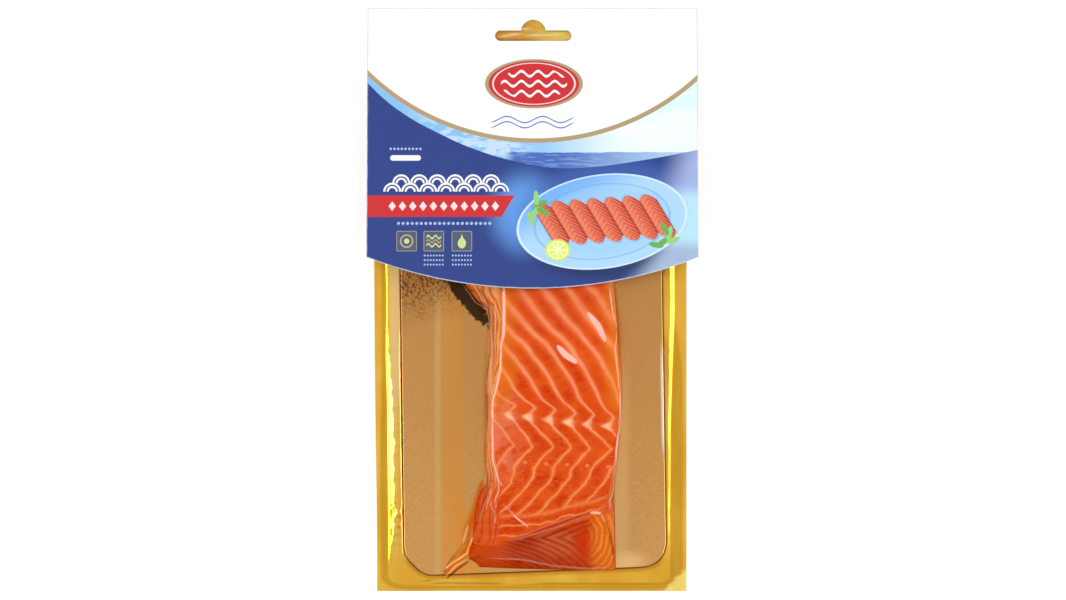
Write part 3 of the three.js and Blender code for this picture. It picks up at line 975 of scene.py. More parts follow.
# %% [markdown]
# ## The slice of fish
#
# A slice is described by two numbers: `across` runs from -1 at its left foot to 0 and 1 at the brows of its
# top face, and 2 at its right foot. `along` does the same from the slanted end face to the end under the
# card. The stations follow the outlines of the real slice, and the same formula as in the frame turns them
# into a surface. A finer grid then has room for the relief of the muscle layers.

# %% The slice's form
FOOT_LEFT = [
    (-114, -25.5), (-108.5, -26.7), (-100, -25.3), (-92, -24.5), (-84, -23.1), (-79.5, -21), (-77, -19.2),
    (-64, -20.4), (-51, -19.3), (-37, -19.9), (-23, -18), (-11.7, -18.3), (-3.6, -19.7), (-0.7, -23.3),
    (6.4, -28.2), (12, -29.5), (20, -24), (30, -19), (52, -17), (58, -15)]
BROW_LEFT = [
    (-112, -22), (-101.7, -12.9), (-78, -12.8), (-66, -15.3), (-50, -17), (-43, -17.1), (-30, -13.8),
    (-14, -12.2), (20, -12), (52, -10), (58, -10)]
BROW_RIGHT = [
    (-114, 33.6), (-100, 30.6), (-87.7, 27.7), (-79.3, 32), (-59.5, 34.9), (-38, 36.4), (-11.6, 34.3),
    (6, 32), (52, 30), (58, 29)]
FOOT_RIGHT = [
    (-114, 35), (-92, 34.6), (-79, 34.5), (-59.5, 36.4), (-38, 37.7), (-11.6, 35.8), (6, 34.6), (52, 33),
    (58, 32)]
THICKNESS = [
    (-101.7, 20.5), (-87.7, 25), (-75, 28), (-58, 29.5), (-42, 29), (-20, 26), (4, 22), (20, 18.5),
    (42, 13), (52, 10)]
RIDGE = (-101.7, -87.7)  # y where the slanted end face starts, at its left and right ends
END_FOOT = [(-1, -109), (0, -112.4), (1, -113.8), (2, -113)]  # (across, y)
BELLY_RIDGE = 52
BELLY_FOOT = 58


def slice_plan(across, along):
    """x and y of a place on the slice."""
    on_top = np.clip(across, 0, 1)
    ridge = mix(*RIDGE, on_top)
    y = mix(ridge, BELLY_RIDGE, np.clip(along, 0, 1))
    y = np.where(along < 0, mix(ridge, through(END_FOOT, across), np.clip(-along, 0, 1)), y)
    y = np.where(along > 1, mix(BELLY_RIDGE, BELLY_FOOT, np.clip(along - 1, 0, 1)), y)
    x = mix(through(BROW_LEFT, y), through(BROW_RIGHT, y), on_top)
    x = np.where(across < 0, mix(x, through(FOOT_LEFT, y), np.clip(-across, 0, 1)), x)
    x = np.where(across > 1, mix(x, through(FOOT_RIGHT, y), np.clip(across - 1, 0, 1)), x)
    return x, y


def slice_height(across, along, y):
    """Height of the slice's surface above its foot."""
    on_top = np.clip(across, 0, 1)
    wall = 1 - np.clip(np.maximum(-across, across - 1), 0, 1) ** 1.7
    face = 1 - np.clip(np.maximum(-along, along - 1), 0, 1) ** 1.25
    top = through(THICKNESS, np.maximum(y, mix(*RIDGE, on_top)))
    top = top + 1.2 * (1 - (2 * on_top - 1) ** 2) - 3 * (1 - on_top) ** 3
    return 0.5 + (top - 0.5) * np.minimum(wall, face)


def outward(grid):
    """The surface's normals at the points of a grid."""
    normal = np.cross(np.gradient(grid, axis=1), np.gradient(grid, axis=0))
    return normal / np.maximum(np.linalg.norm(normal, axis=-1, keepdims=True), 1e-9)


# %% [markdown]
# Trout flesh is built of layers, shaped like a W folded round the backbone. A slice cuts through them, and
# the fat between two layers shows as a pale line. `layer_phase` counts layers across the slice: it is a
# whole number on a fat line and rises by one to the next. Where the count shifts with y, the lines slant,
# and where the shift turns back, they kink. The count is stored on the mesh, for the material to read.

# %% Muscle layers
LAYER_SHIFT = [
    (-92, -17), (-86.6, -11.3), (-83.5, -8.9), (-80, -5.5), (-76.5, -2.3), (-73.4, -0.4), (-70.3, 0.4),
    (-67.2, 2.7), (-64.4, 5), (-61.6, 8.2), (-58, 5.6), (-53, 0), (-51.1, -2),
    (-46.9, 1.3), (-42.3, -3.8), (-38.5, -6.1), (-32.2, -9.4), (-25.7, -14.1), (-18.2, -20.2),
    (-12.5, -26.3), (-5.4, -33.2), (3.5, -41), (16, -53), (58, -90)]  # (y, shift in x)
LAYER_PITCH = [(-79, 7.8), (-51, 8.2), (-34, 8.4), (3.5, 10.1), (40, 11)]  # (y, distance between lines)
LAYER_TILT = [(-78, 0), (-61, 0.04), (-51, 0.12), (-46, 0.14), (-37, 0)]
LAYER_MIDDLE = 16.2
SEPTUM_Y = -51.1  # the row of knots where the lines kink
KNOT_TOP = -46.9  # above this y the lines are smooth, and below it they kink


def kinked(stations, t):
    where, value = np.array(stations, float).T
    return np.interp(t, where, value)


def layer_phase(x, y):
    fine = mix(0.3, 1, smooth_step((-44 - y) / 8))
    sway = 0.45 * ripple(x, y, 6, 21) + fine * (0.32 * ripple(x, y, 2.4, 22) + 0.2 * ripple(x, y, 1.3, 25))
    level = y + kinked(LAYER_TILT, y) * (x - LAYER_MIDDLE) + 0.25 * ripple(x, y, 4, 23)
    shift = np.where(level > KNOT_TOP, through(LAYER_SHIFT, level), kinked(LAYER_SHIFT, level))
    return (x - LAYER_MIDDLE - shift + sway) / kinked(LAYER_PITCH, y)


SEAM = [(-24, -91), (-6.3, -90.1), (5.3, -88.9), (13.9, -86.2), (22.8, -84.3), (31.7, -82), (38, -80)]
SEAM_PITCH = 4.1


def below_seam(x, y):
    """Distance below the broad fat line that closes the chevrons near the slice's end."""
    return through(SEAM, x) + 0.5 * ripple(x, y, 3, 26) - y


def top_phase(x, y):
    """The count on the top face. Below the seam the lines run along it."""
    below = below_seam(x, y)
    return np.where(below < 0, layer_phase(x, y), below / SEAM_PITCH)


END_APEX_Y = -99.6  # the end face's lines point left here
END_PITCH = 6.6
END_SWEEP = [(-20, 3.8), (0, 3.2), (12, 2.3), (26, 1.5)]  # (x, run of a line to the right for each mm down)
RIDGE_LINE = [(-12.6, -101.8), (5, -95.9), (27, -88)]


def end_phase(x, y):
    """The same count on the slanted end face, where the layers show as nested arrow heads."""
    above = y - END_APEX_Y
    sweep = np.where(above > 0, 2.6 * above, -through(END_SWEEP, x) * above)
    return (x - 6.2 - sweep + 0.5 * ripple(x, y, 5, 24)) / END_PITCH


def to_line(phase):
    """Distance to the nearest fat line, from 0 on it to 0.5 halfway to the next."""
    return np.abs(phase - np.round(phase))


# %% The slice's mesh
def places(before, middle, after):
    """Numbers from -1 to 0, 0 to 1 and 1 to 2, in these counts of cells."""
    return np.concatenate([np.linspace(-1, 0, before + 1)[:-1], np.linspace(0, 1, middle + 1),
                           np.linspace(1, 2, after + 1)[1:]])


FLESH_INSET = 0.62  # the flesh lies this far inside the frame's solid, to leave room for the film
FLESH_BASE = BOARD_TOP + 0.02

across, along = np.meshgrid(places(30, 112, 16), places(64, 330, 14))
slice_x, slice_y = slice_plan(across, along)
height = slice_height(across, along, slice_y)
phase = np.where(along < 0, end_phase(slice_x, slice_y), top_phase(slice_x, slice_y))
surface = np.stack([slice_x, slice_y, FILLET_BASE + height], -1)
relief = 0.13 * smooth_step(to_line(phase) * 5) + 0.08 * ripple(slice_x, slice_y, 3.1, 31)
relief = relief + 0.16 * ripple(slice_x, slice_y, (13, 9), 32)
skin = surface + outward(surface) * (relief - FLESH_INSET)[..., None]
skin[..., 2] = np.maximum(skin[..., 2], FLESH_BASE)
under = np.stack([slice_x, slice_y, np.full_like(slice_x, FLESH_BASE)], -1)
fillet = slab_piece("trout_fillet", lean(skin), lean(under))
on_end = smooth_step(-along * 7)
store(fillet, layer_phase=phase, on_end=on_end, on_wall=np.clip(np.maximum(-across, across - 1), 0, 1),
      seam=np.exp(-(below_seam(slice_x, slice_y) / 0.9) ** 2) * (1 - on_end),
      ridge=crease(slice_x, slice_y, RIDGE_LINE, 1.9))
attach(fillet, "root")
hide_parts("fillet_in_clear_film")
print("fillet is", round(float(slice_y.max() - slice_y.min())), "mm long and up to",
      round(float(height.max()), 1), "mm thick")

# %% [markdown]
# ## Clear film
#
# One clear film covers everything: it follows the rim, steps up on the board, and clings to the fish. Its
# grid uses the slice's two numbers, carried on past the feet to the pouch's edges. Vacuum pulls it into
# small ridges, above all at the brows, on the walls and at the gathered tail in the lower left corner.

# %% The film's grid
def carry_on(inner, before, after):
    """The slice's numbers, with more before -1 and after 2 that lead to the pouch's edges."""
    return np.concatenate([-1 - before[:0:-1], inner, 2 + after[1:]])


def shares(*bands):
    """Rising shares from 0 to 1 over bands (count of cells, share at the band's end)."""
    stops = [0.0]
    for count, end in bands:
        stops.extend(np.linspace(stops[-1], end, count + 1)[1:])
    return np.array(stops)


TO_SIDE = shares((14, 0.12), (34, 0.62), (44, 1.0))
TO_BOTTOM = shares((10, 0.25), (34, 1.0))
TO_TOP = shares((6, 0.08), (24, 1.0))
across, along = np.meshgrid(carry_on(places(26, 100, 14), TO_SIDE, TO_SIDE),
                            carry_on(places(56, 300, 12), TO_BOTTOM, TO_TOP))


def film_plan(across, along):
    """x and y of a place on the film, from the pouch's edges to the slice and over it."""
    x, y = slice_plan(np.clip(across, -1, 2), np.clip(along, -1, 2))
    y = mix(y, PACK_BOTTOM, np.clip(-1 - along, 0, 1))
    y = mix(y, POUCH_TOP, np.clip(along - 2, 0, 1))
    x = mix(x, through(POUCH_LEFT, y), np.clip(-1 - across, 0, 1))
    return mix(x, POUCH_RIGHT, np.clip(across - 2, 0, 1)), y


# %% [markdown]
# Random wrinkles would look like any crumpled film, so the folds that show are placed one by one, as lines.
# Where the film lies double it is pale, and where a pleat turns away from the light it is dark, painted
# shade.
# The film's glints and the bright lines along the brows are painted too, as pale folds. Oil from the
# fish wets the film along the walls and at the tail, and tints what lies under it.

# %% The film's folds
# Pale folds are ridges in the mesh, painted milky pale; the glints and brow lines among them are painted
# highlights.
PALE_FOLDS = [  # (points, half width, strength)
    ([(-11.9, 6), (-11.9, -6.8), (-12.1, -14.6), (-13.5, -20.5)], 1.15, 0.95),
    ([(-13, -18), (-13.4, -29), (-15.2, -37.3), (-16.5, -42), (-16.7, -49.5)], 0.8, 0.9),
    ([(-16.8, -46), (-16.6, -58), (-16.4, -67.1), (-14.2, -75.1), (-12.6, -77.6)], 0.75, 0.85),
    ([(-15.6, 4), (-15.4, -14), (-16.8, -22.6)], 0.45, 0.5),
    ([(-17.4, -23.5), (-17.9, -35.2)], 0.5, 0.6),
    ([(-17.8, -8), (-17.2, -24), (-18.6, -34)], 0.5, 0.45),
    ([(-18.6, -44), (-18.2, -60)], 0.6, 0.5),
    ([(31.9, 5), (33.6, -6.4), (35.2, -11.8)], 0.6, 0.75),
    ([(33.6, 6), (35.2, -11.8)], 0.5, 0.6),
    ([(35.2, -12.6), (34.4, -20.8), (35.7, -33.2), (36.5, -40.6)], 0.6, 0.8),
    ([(36.4, -40.3), (36.8, -51.6), (35.6, -57.1), (34.8, -62.5), (34.8, -69.5), (34.3, -73)], 0.8, 0.85),
    ([(34.3, -71.7), (33.9, -79.6), (32, -83.8), (32.8, -88)], 0.55, 0.8),
    ([(22.9, -5.4), (27.4, -11), (30.3, -17.3)], 1.8, 1.4),
    ([(10.3, -19.2), (13.6, -22.8), (18.4, -26.2)], 1.9, 1.4),
    ([(-11.9, -85.6), (-6.6, -90.7), (-4.6, -92.4)], 0.36, 0.7),
    ([(-7.6, -90), (-1.9, -94.5)], 0.6, 0.8),
    ([(-12.1, -101.4), (4.6, -94.5), (20.9, -88.9)], 0.6, 0.3),
    ([(-8, -100.5), (9.2, -94.9), (26.9, -88)], 0.65, 0.34),
    ([(24.1, -88.4), (28.7, -88.9)], 0.95, 0.9),
    ([(28.5, -89.4), (29.7, -92.1)], 0.4, 0.6),
    ([(-17.2, -108.4), (-4.7, -108.9), (8.3, -111.7), (23.2, -113.1), (33.9, -112.1)], 1.0, 0.34),
    ([(-16.8, -82.4), (-17.4, -85.2), (-15.9, -89), (-15.5, -95.4)], 0.4, 0.6),
    ([(-14.5, -74.5), (-14, -79.6), (-15.6, -83), (-15.2, -86.6)], 0.45, 0.7),
    ([(-19.3, -87), (-17.9, -82.4), (-17.2, -76)], 0.5, 0.6),
    ([(-18.4, -81.9), (-21.6, -89.4), (-23.2, -94.2)], 0.5, 0.4),
    ([(-25.1, -99.6), (-27.5, -106.5), (-32.3, -109.8), (-36.6, -113)], 0.9, 1.0),
    ([(-27.5, -108.7), (-32.3, -111.9), (-36.6, -116.2)], 0.7, 0.8),
    ([(-27, -94.7), (-29.1, -102.3)], 1.1, 1.0),
    ([(-29, 6), (-24, -1.2), (-18.9, -4.4)], 0.65, 0.35),
    ([(-25, 6), (-20, -1), (-18, -9)], 0.65, 0.35)]
DARK_FOLDS = [
    ([(-19.5, -80), (-21.6, -89.4), (-24.8, -97)], 0.5, 0.8),
    ([(-25.9, -98.5), (-29.7, -103.8), (-35, -110.3), (-37.2, -114.5)], 0.55, 0.9),
    ([(-26.5, -109.8), (-30.7, -112.6), (-36.1, -117.2)], 0.6, 0.9),
    ([(-27.8, 6), (-22.5, -1.5), (-18.6, -6)], 0.5, 0.8),
    ([(-23, 6), (-18.6, -1.5), (-17.6, -12)], 0.45, 0.8),
    ([(-18.2, -22), (-19.4, -38), (-19, -52)], 0.4, 0.6),
    ([(-16.8, -2), (-16.4, -22)], 0.35, 0.6),
    ([(30.1, -89.8), (32.5, -97.7), (34.6, -108.9)], 0.45, 0.9),
    ([(-22.4, -91.2), (-19.1, -78.7), (-18.9, -71.7)], 0.4, 0.6)]
OILY = [
    ([(-24.5, -102), (-37, -116)], 2.8, 1.0),
    ([(-21, -76), (-23.5, -88), (-27.4, -98), (-26.5, -106)], 3.2, 1.0),
    ([(34, 6), (35.6, -12), (36, -36)], 2.2, 0.8),
    ([(-14, -101.8), (7, -95.2), (27, -88)], 2.6, 0.45),
    ([(-17, -108.6), (8, -111.6), (34, -112.4)], 1.8, 0.5),
    ([(-29, 8), (-24, 0), (-19, -8)], 2.6, 0.8),
    ([(-19, -12), (-20.2, -36), (-19.7, -64), (-20.6, -76)], 1.0, 0.4)]


def gathered(x, y, creases):
    return sum(strength * crease(x, y, points, half_width) for points, half_width, strength in creases)


TAIL_START = (-23, -104.5)
TAIL_END = (-37.8, -116.4)
TAIL_HALF_WIDTH = (4.6, 1.1)  # at its start and its end
TAIL_HEIGHT = (5.6, 0.9)


def gathered_tail(x, y):
    """Pleated film that runs off the slice's lower left corner."""
    run = np.array(TAIL_END) - TAIL_START
    length = np.linalg.norm(run)
    t = np.clip(((x - TAIL_START[0]) * run[0] + (y - TAIL_START[1]) * run[1]) / length ** 2, -0.3, 1.05)
    off = ((x - TAIL_START[0]) * run[1] - (y - TAIL_START[1]) * run[0]) / length
    half_width = mix(*TAIL_HALF_WIDTH, np.clip(t, 0, 1))
    body = mix(*TAIL_HEIGHT, np.clip(t, 0, 1)) * bell(off / half_width)
    pleat = 1 - 0.3 * np.abs(np.sin(off / half_width * 5.2))
    return body * pleat * smooth_step((1.05 - t) * 9) * smooth_step((t + 0.3) * 3)


# %% [markdown]
# The film's height is put together from what carries it: rim, board, slice and tail. Then the folds, and a
# little seeded noise, push it along its own normals, so a fold on a wall stands out sideways.

# %% The clear film
OVER_BOARD = 0.07
OVER_RIM = 0.05
CLING = 0.12  # on the slice the film lies this far inside the frame's solid
FOLD_RISE, FOLD_DEPTH, WALL_PLEATS = 0.2, 0.12, 0.22

film_x, film_y = film_plan(across, along)
on_slice = (np.clip(across, -1, 2), np.clip(along, -1, 2))
foot_x, foot_y = slice_plan(*on_slice)
off_foot = np.hypot(film_x - foot_x, film_y - foot_y)
is_slice = off_foot < 1 / FAR
on_board = BOARD_TOP + OVER_BOARD
on_rim = FILM_THICK + rim_height(film_x, film_y) + OVER_RIM
ground = mix(on_board, on_rim, smooth_step(board_distance(film_x, film_y) / 3.4 + 0.04))
climb = (FILLET_BASE + 0.55 - on_board) * np.exp(-(off_foot / 0.6) ** 2)
film_z = np.where(is_slice, FILLET_BASE + slice_height(*on_slice, foot_y), np.maximum(ground, on_rim) + climb)
film_z = np.maximum(film_z, np.where(is_slice, 0, on_board + gathered_tail(film_x, film_y)))
surface = np.stack([film_x, film_y, film_z], -1)

pale = gathered(film_x, film_y, PALE_FOLDS)
dark = gathered(film_x, film_y, DARK_FOLDS)
walls = np.clip(np.maximum(-across, across - 1), 0, 1) * is_slice
lift = np.where(is_slice, -CLING, 0.0) + FOLD_RISE * np.clip(pale, 0, 1.2) - FOLD_DEPTH * np.clip(dark, 0, 1)
lift = lift + WALL_PLEATS * walls * ripple(across * 4.2, film_y, (1, 11), 41)
lift = lift * smooth_step((0.95 - walls) * 8)  # the film stays down along the foot of the walls
lift = lift + 0.03 * ripple(film_x, film_y, (3, 5), 42)
clear_film = sheet_piece("clear_film", lean(surface + outward(surface) * lift[..., None]))
store(clear_film, pale_fold=np.clip(pale, 0, 1.4), dark_fold=np.clip(dark, 0, 1),
      oil=np.clip(gathered(film_x, film_y, OILY), 0, 1))
clear_film.visible_shadow = False  # so clear a film hardly shades what it clings to
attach(clear_film, "root")

# %% [markdown]
# ## Finishes of foil, board, fish and film
#
# Metallised film is aluminium seen through yellow lacquer: a metal whose colour comes from its reflection.
# The seal round the rim was pressed between hot jaws, so it is duller than the free film inside it. Some
# light and shade is painted into the lacquer's colour: olive shade on the seal, a deeper yellow on the left
# bright slope, pale highlights on the strips, the slot's creases and the lower right corner, shade and sheen
# under the slot, and shade along the board's edges and in the tail's crease.

# %% Gold film's finish
def stored(tree, name):
    """A number kept on the mesh, as a field."""
    node = tree.nodes.new("ShaderNodeAttribute")
    node.attribute_name = name
    return Field(tree, node.outputs["Fac"])


gold, gold_shader, (gold_place, x, y, _) = new_material("gold_foil")
from_edge, off_board, olive, haze, slot_crease, tail_crease = (
    stored(gold.node_tree, name)
    for name in ("rim_inset", "off_board", "olive", "haze", "slot_crease", "tail_crease"))
seal = from_edge.below(5, 1.5)
bright_strip = from_edge.above(4.6, 0.8) * from_edge.below(9, 1.2) * y.above(-108, 8)
gap_line = off_board.size().below(0.6, 0.9)
haze = haze * (noise(gold_place, 1.4, 3.0) * 0.7 + 0.55)
# Tint of the pale strips, and pale yellow for the painted highlight at the lower right corner.
haze_tint = blend_colours((x + 55.4).size().below(1.0, 1.4), colour(240, 206, 144), colour(244, 196, 144))
haze_tint = blend_colours(x.above(48, 4) * y.below(-104, 6), haze_tint, colour(255, 240, 140))
# Painted shade and sheen under the slot: darker gold to its left, paler to its right.
slot_tint = blend_colours(x.above(2, 18), colour(226, 158, 44), colour(250, 216, 108))

clouds = noise(gold_place, 16, 3.0, (1, 0.6, 1)).above(0.5, 0.5)
lacquer = Layers(blend_colours(clouds, colour(240, 176, 50), colour(254, 204, 80)))
# Painted highlight colour: the left bright slope's gold is a deeper yellow.
lacquer.lay(bright_strip * x.below(0, 20), colour(255, 204, 50), 0.7)
# Painted olive shade on the seal.
lacquer.lay(olive * (noise(gold_place, 4, 2.0, (1.6, 0.2, 1)) * 0.6 + 0.5), colour(216, 160, 42))
lacquer.lay((haze * 0.85).math("MINIMUM", 0.9), haze_tint)
lacquer.lay(y.above(100, 4), slot_tint, 0.85)
# Painted highlights along the creases by the slot.
lacquer.lay(slot_crease, colour(255, 236, 184))
# Painted shade: deeper orange below the board's lower edge.
lacquer.lay(off_board.below(1.9, 1.8) * y.below(-110, 4), colour(206, 126, 30), 0.6)
# Painted shade in the crease by the gathered tail.
lacquer.lay(tail_crease, colour(168, 112, 20), 0.7)
# Painted shade: a dark line round the board's edge, where the film steps down from it.
lacquer.lay(gap_line, colour(112, 56, 12), 0.92)
connect(lacquer.top, gold_shader, "Base Color")
softened = haze * 0.2 + gap_line * 0.4 + bright_strip * x.above(0, 20) * 0.14
connect(seal * 0.1 + softened + noise(gold_place, 9, 2.0) * 0.1 + 0.15, gold_shader, "Roughness")
set_numbers(gold_shader, Metallic=1.0)
add_bump(gold_shader, noise(gold_place, 1.6, 3.0, (1, 0.4, 1)), 0.03)
gold_film.data.materials.append(gold)

# %% [markdown]
# The board's laminate is a satin metal, rolled in one direction, with a fine grain. What it mirrors is
# painted
# into its colour: the fish's orange beside it, a pale sheen band, sheens by the right foot and the lower
# right corner, and a glint at its right edge. Film and card stand close above its upper left part, and their
# reflection is painted as dark, crumpled specks, with a painted shadow beside the fish's upper left flap.

# %% Board's finish
laminate, laminate_shader, (laminate_place, x, y, _) = new_material("gold_laminate")
grain = noise(laminate_place, 0.7, 4.0, (0.6, 1.6, 1))
toward_end = y.below(-55, 120)
near_fish = (x + 33.5).size().below(4.4, 3.6) + (x + 26).size().below(5, 4) * y.below(-88, 20)
by_foot = x.above(30, 4) * x.below(40, 5) * y.below(-28, 30)
corner_sheen = hypot((x - 40) / 10, (y + 110) / 5).below(0.7, 1.0)
under_card = (y * 0.9 - x * 0.3 + noise(laminate_place, 7, 3.0) * 14).above(19, 22) * x.below(-20, 4)
crumple = noise(laminate_place, 0.9, 5.0, (1.5, 0.8, 1)).above(0.52, 0.16)
ragged = noise(laminate_place, 1.8, 6.0) * 4.4 - 2.2
under_flap = (oval(x, y, (-27.2, 0.2), (14.5, 3.5), -50) + ragged).below(0, 0.8)
edge_glint = (x + y * 0.0156 - 53.75).size().below(0.5, 0.5) * (y + 42).size().below(20, 14)

satin = Layers(blend_colours(toward_end, colour(208, 150, 82), colour(230, 174, 102)))
satin.lay(noise(laminate_place, 14, 2.0, (1, 0.05, 1)), colour(226, 172, 104), 0.5)
satin.lay(grain.above(0.5, 0.4), colour(198, 140, 78), 0.45)
# Painted sheen: a pale vertical band.
satin.lay((x + 39.7).size().below(1.3, 1.8), colour(232, 186, 116), 0.5)
# Painted reflection of the orange fish beside the board.
satin.lay(near_fish * (toward_end * 0.3 + 0.35), colour(238, 156, 62))
# Painted sheen by the right foot of the fish.
satin.lay(by_foot, colour(232, 188, 122), 0.7)
satin.lay(corner_sheen, colour(252, 204, 138), 0.8)
# Painted reflection of the card and film above, with dark crumpled specks.
satin.lay(under_card, colour(184, 112, 52), 0.5)
satin.lay(crumple * under_card, colour(92, 52, 22), 0.85)
# Painted shadow beside the fish's upper left flap.
satin.lay(under_flap, colour(44, 30, 18), 0.95)
satin.lay(edge_glint, colour(255, 238, 214), 0.9)
connect(satin.top, laminate_shader, "Base Color")
connect(grain * 0.08 + 0.27, laminate_shader, "Roughness")
set_numbers(laminate_shader, Metallic=1.0)
add_bump(laminate_shader, grain, 0.015)
board.data.materials.append(laminate)

# %% [markdown]
# Smoked trout is deep orange with paler fat. The fat line is read from the layer count on the mesh. Lines
# are broad and soft towards the belly and thin near the back, and they swell into knots where they kink.
# The flesh is damp and lets a little light in, which subsurface scattering gives.

# %% Trout's finish
trout, trout_shader, (trout_place, x, y, z) = new_material("trout_flesh")
count, end_share, wall_share, seam, ridge = (
    stored(trout.node_tree, name) for name in ("layer_phase", "on_end", "on_wall", "seam", "ridge"))
nearness = count.repeat(1.0).size()
cell_share = count.math("FRACT")
belly_ward = y.above(-28, 44)
knot_row = (y - SEPTUM_Y + (x - LAYER_MIDDLE) * 0.11).size().below(1.3, 2.4)
line_width = belly_ward * 0.075 + knot_row * 0.14 + noise(trout_place, 3) * 0.07 + 0.035
line = (nearness / line_width).below(1.0, 1.6)
line_strength = noise(trout_place, 6, 2.0) * 0.7 + 0.5 - y.above(-8, 36) * 0.3 - y.below(-57, 5) * 0.16
halo = (nearness / line_width).below(2.4, 4.0)
fade = (cell_share + belly_ward * 0.14).above(0.84, 0.46) * (belly_ward * 0.4 + 0.3)
fibre_along, fibre_across = turned(x, y, (0, 0), 14)
fibre_place = x.node("ShaderNodeCombineXYZ", fibre_along, fibre_across, z)
fibre = noise(fibre_place, 0.7, 3.0, (0.2, 1.0, 0.4))
bruise = x.below(-7, 10) * (y + 57).size().below(17, 9) * noise(trout_place, 6).above(0.42, 0.3)
mark_x, mark_y = (x - 14.2).repeat(8.6), y + (x - 14) * 0.05 + 68.6
marks = (hypot(mark_x / 1.2, mark_y / 0.9) + noise(trout_place, 1.1, 3.0) * 1.6 - 0.8).below(0.7, 0.7)
flecks = noise(trout_place, 0.9, 2.0).above(0.62, 0.1) * y.below(-50, 8)
flanks = (x - 11).size().above(20, 10) * y.above(-46, 30)
fat_tint = blend_colours(y.below(-57, 5), colour(246, 150, 106), colour(246, 152, 94))
fat_tint = blend_colours(knot_row, fat_tint, colour(252, 200, 158))

mottled = noise(trout_place, 7, 3.0).above(0.5, 0.5)
flesh = Layers(blend_colours(mottled, colour(200, 42, 4), colour(222, 80, 14)))
flesh.lay(fibre.above(0.52, 0.3), colour(236, 104, 34), 0.4)
flesh.lay(fade, colour(234, 108, 48))
# Painted shadow of the card over the flesh's upper end.
flesh.lay(y.above(-8, 20), colour(188, 50, 14), 0.35)
# A pink patch at the left: partly pale fat, partly a painted sheen where the film stands off the flesh.
flesh.lay(bruise, colour(232, 122, 92), 0.8)
flesh.lay(marks, colour(242, 142, 98), 0.7)
flesh.lay(flecks, colour(244, 134, 84), 0.28)
flesh.lay(halo, colour(236, 116, 60), 0.4)
flesh.lay((line * line_strength).math("MINIMUM", 0.95), fat_tint)
flesh.lay(flanks, colour(230, 132, 34), 0.6)
flesh.lay(seam, colour(238, 126, 66), 0.75)

# %% [markdown]
# The slanted end is cut across the layers, so it is darker and redder. Its layers show as nested arrow heads:
# broad and salmon in the middle, fine and dark towards the left, and golden arcs at the right. The walls
# carry the pleats that the film pressed into the soft flesh. The flesh has no relief for them: they are
# painted, pale stripes for their lit sides and dark lines for the shade between them.

# %% Trout's end and walls
deep = (x * 0.344 - y - 98.2).below(4.5, 4) * (x - 3).size().below(11, 8)
fine_lines = (count * 2.0).repeat(1.0).size().below(0.2, 0.24)
salmon_zone = hypot((x - 10) / 11, (y + 102) / 7).below(0.8, 0.5)
end_line = (nearness / (noise(trout_place, 5) * 0.08 + 0.05)).below(1.0, 1.6)
ember = hypot((x - 22.5) / 6, (y + 102) / 8).below(0.7, 0.7)
golden = x.above(25, 7)
wavering = noise(trout_place, 3.5, 3.0) * 2.6
arcs = (hypot(x - 19, (y + 98.5) * 0.9) + wavering).repeat(2.3).size().below(0.35, 0.8)

mottled = noise(trout_place, 5, 2.0).above(0.5, 0.5)
end_cut = Layers(blend_colours(mottled, colour(184, 46, 8), colour(202, 68, 16)))
end_cut.lay(deep, colour(164, 36, 8), 0.8)
end_cut.lay(fine_lines * x.below(8, 16), colour(158, 40, 12), 0.8)
end_cut.lay(cell_share.below(0.5, 0.5) * salmon_zone, colour(206, 102, 58), 0.8)
end_cut.lay(end_line, colour(222, 110, 58), 0.5)
end_cut.lay(ember, colour(214, 50, 4), 0.85)
end_cut.lay(golden, colour(234, 106, 22))
end_cut.lay(golden * arcs, colour(246, 172, 72), 0.6)
end_cut.lay(x.below(-10, 12), colour(222, 78, 16), 0.7)

# Painted pleats: pale stripes for their lit sides, dark lines for the shade between them.
pleat = (wall_share * 4.5 + noise(trout_place, 9, 2.0, (1, 0.6, 1)) * 3.0).repeat(1.0).size()
webbed = block(x, y, (-18.6, -32), (1.8, 7.5), 1.5).below(0, 0.6)
wall = Layers(blend_colours(pleat.above(0.25, 0.3), colour(230, 116, 46), colour(250, 176, 112)))
wall.lay(y.below(-76, 16), colour(220, 68, 12), 0.85)
wall.lay(pleat.below(0.05, 0.07), colour(140, 46, 12), 0.55)
wall.lay(webbed, colour(240, 182, 120), 0.8)

flesh.lay(end_share, end_cut.top)
flesh.lay(ridge, colour(172, 58, 30), 0.75)
flesh.lay(wall_share.above(0.16, 0.22) * (end_share * -1 + 1), wall.top, 0.85)
connect(flesh.top, trout_shader, "Base Color")
connect(noise(trout_place, 3) * 0.15 + 0.4, trout_shader, "Roughness")
set_numbers(trout_shader, Subsurface_Weight=0.12, Subsurface_Radius=(3.0, 0.8, 0.4), Subsurface_Scale=MM,
            Specular_IOR_Level=0.0)
add_bump(trout_shader, fibre, 0.04)
fillet.data.materials.append(trout)

# %% [markdown]
# Clear film shows only what it reflects: little of the light that falls on it straight, and far more of what
# grazes it. Blender's Fresnel node treats the back of a thin skin as the inside of a solid, which would
# darken all that lies under it, so the share comes from Layer Weight, which is the same from both sides. A
# real film mirrors about a thirteenth even straight on, but film drawn tight over a damp fish leaves no air
# under it, so `STRAIGHT_ON` is far less. Where film lies folded, its many layers turn milky, and the film's
# glints are painted the same milky pale, as painted highlights. Where oil has wetted it, it is amber, and its
# pale folds and glints there are painted yellow, a painted reflection of the gold.

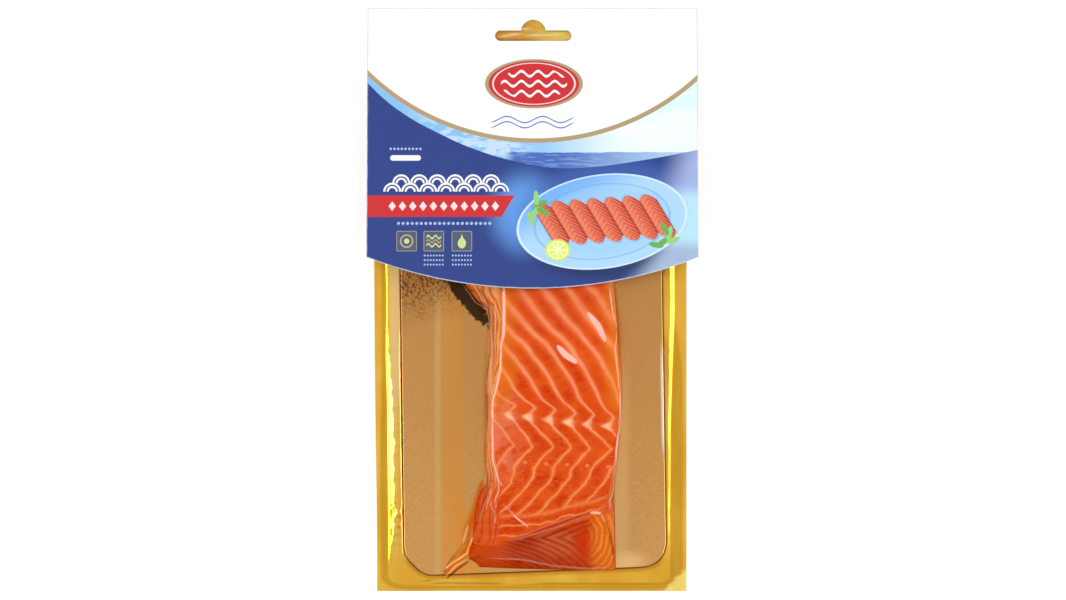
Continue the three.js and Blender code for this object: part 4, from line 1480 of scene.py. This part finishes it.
# %% Film's finish
film = bpy.data.materials.new("clear_film")
film.use_nodes = True
film_tree = film.node_tree
film_tree.nodes.remove(film_tree.nodes["Principled BSDF"])
pale_fold, dark_fold, oil = (stored(film_tree, name) for name in ("pale_fold", "dark_fold", "oil"))
tint = blend_colours(oil, (0.99, 0.985, 0.97), (0.98, 0.6, 0.24))
# Dark folds are painted shade: a dark tint on the film.
tint = blend_colours(dark_fold, tint, (0.4, 0.16, 0.06))
# Painted highlight colour of folds and glints; where oil is, yellow, a painted reflection of the gold.
fold_colour = blend_colours(oil, colour(255, 202, 180), colour(255, 192, 84))
STRAIGHT_ON = 0.004
GRAZING = 0.35
FOLD_GLOSS = 0.02
LIGHT_THROUGH = 0.12  # the share of a milky fold's light that comes from behind it
FOLD_COVER = 0.95
tilt = film_tree.nodes.new("ShaderNodeLayerWeight")
tilt.inputs["Blend"].default_value = 0.5
mirrored = Field(film_tree, tilt.outputs["Facing"]).math("POWER", 6.0) * (GRAZING - STRAIGHT_ON) + STRAIGHT_ON
mirrored = mirrored + pale_fold * FOLD_GLOSS

clear = film_tree.nodes.new("ShaderNodeBsdfTransparent")
gloss = film_tree.nodes.new("ShaderNodeBsdfGlossy")
gloss.inputs["Roughness"].default_value = 0.1
milky = film_tree.nodes.new("ShaderNodeBsdfDiffuse")
film_tree.links.new(tint.socket, clear.inputs["Color"])
film_tree.links.new(fold_colour.socket, milky.inputs["Color"])
glow = film_tree.nodes.new("ShaderNodeBsdfTranslucent")
film_tree.links.new(fold_colour.socket, glow.inputs["Color"])


def mix_shaders(share, first, second):
    made = film_tree.nodes.new("ShaderNodeMixShader")
    if isinstance(share, Field):
        connect(share, made, 0)
    else:
        made.inputs[0].default_value = share
    film_tree.links.new(first, made.inputs[1])
    film_tree.links.new(second, made.inputs[2])
    return made.outputs[0]


layers = mix_shaders(LIGHT_THROUGH, milky.outputs[0], glow.outputs[0])
folded = mix_shaders(pale_fold.above(0.42, 0.84) * FOLD_COVER, clear.outputs[0], layers)
film_look = mix_shaders(mirrored, folded, gloss.outputs[0])
film_tree.links.new(film_look, film_tree.nodes["Material Output"].inputs["Surface"])
clear_film.data.materials.append(film)
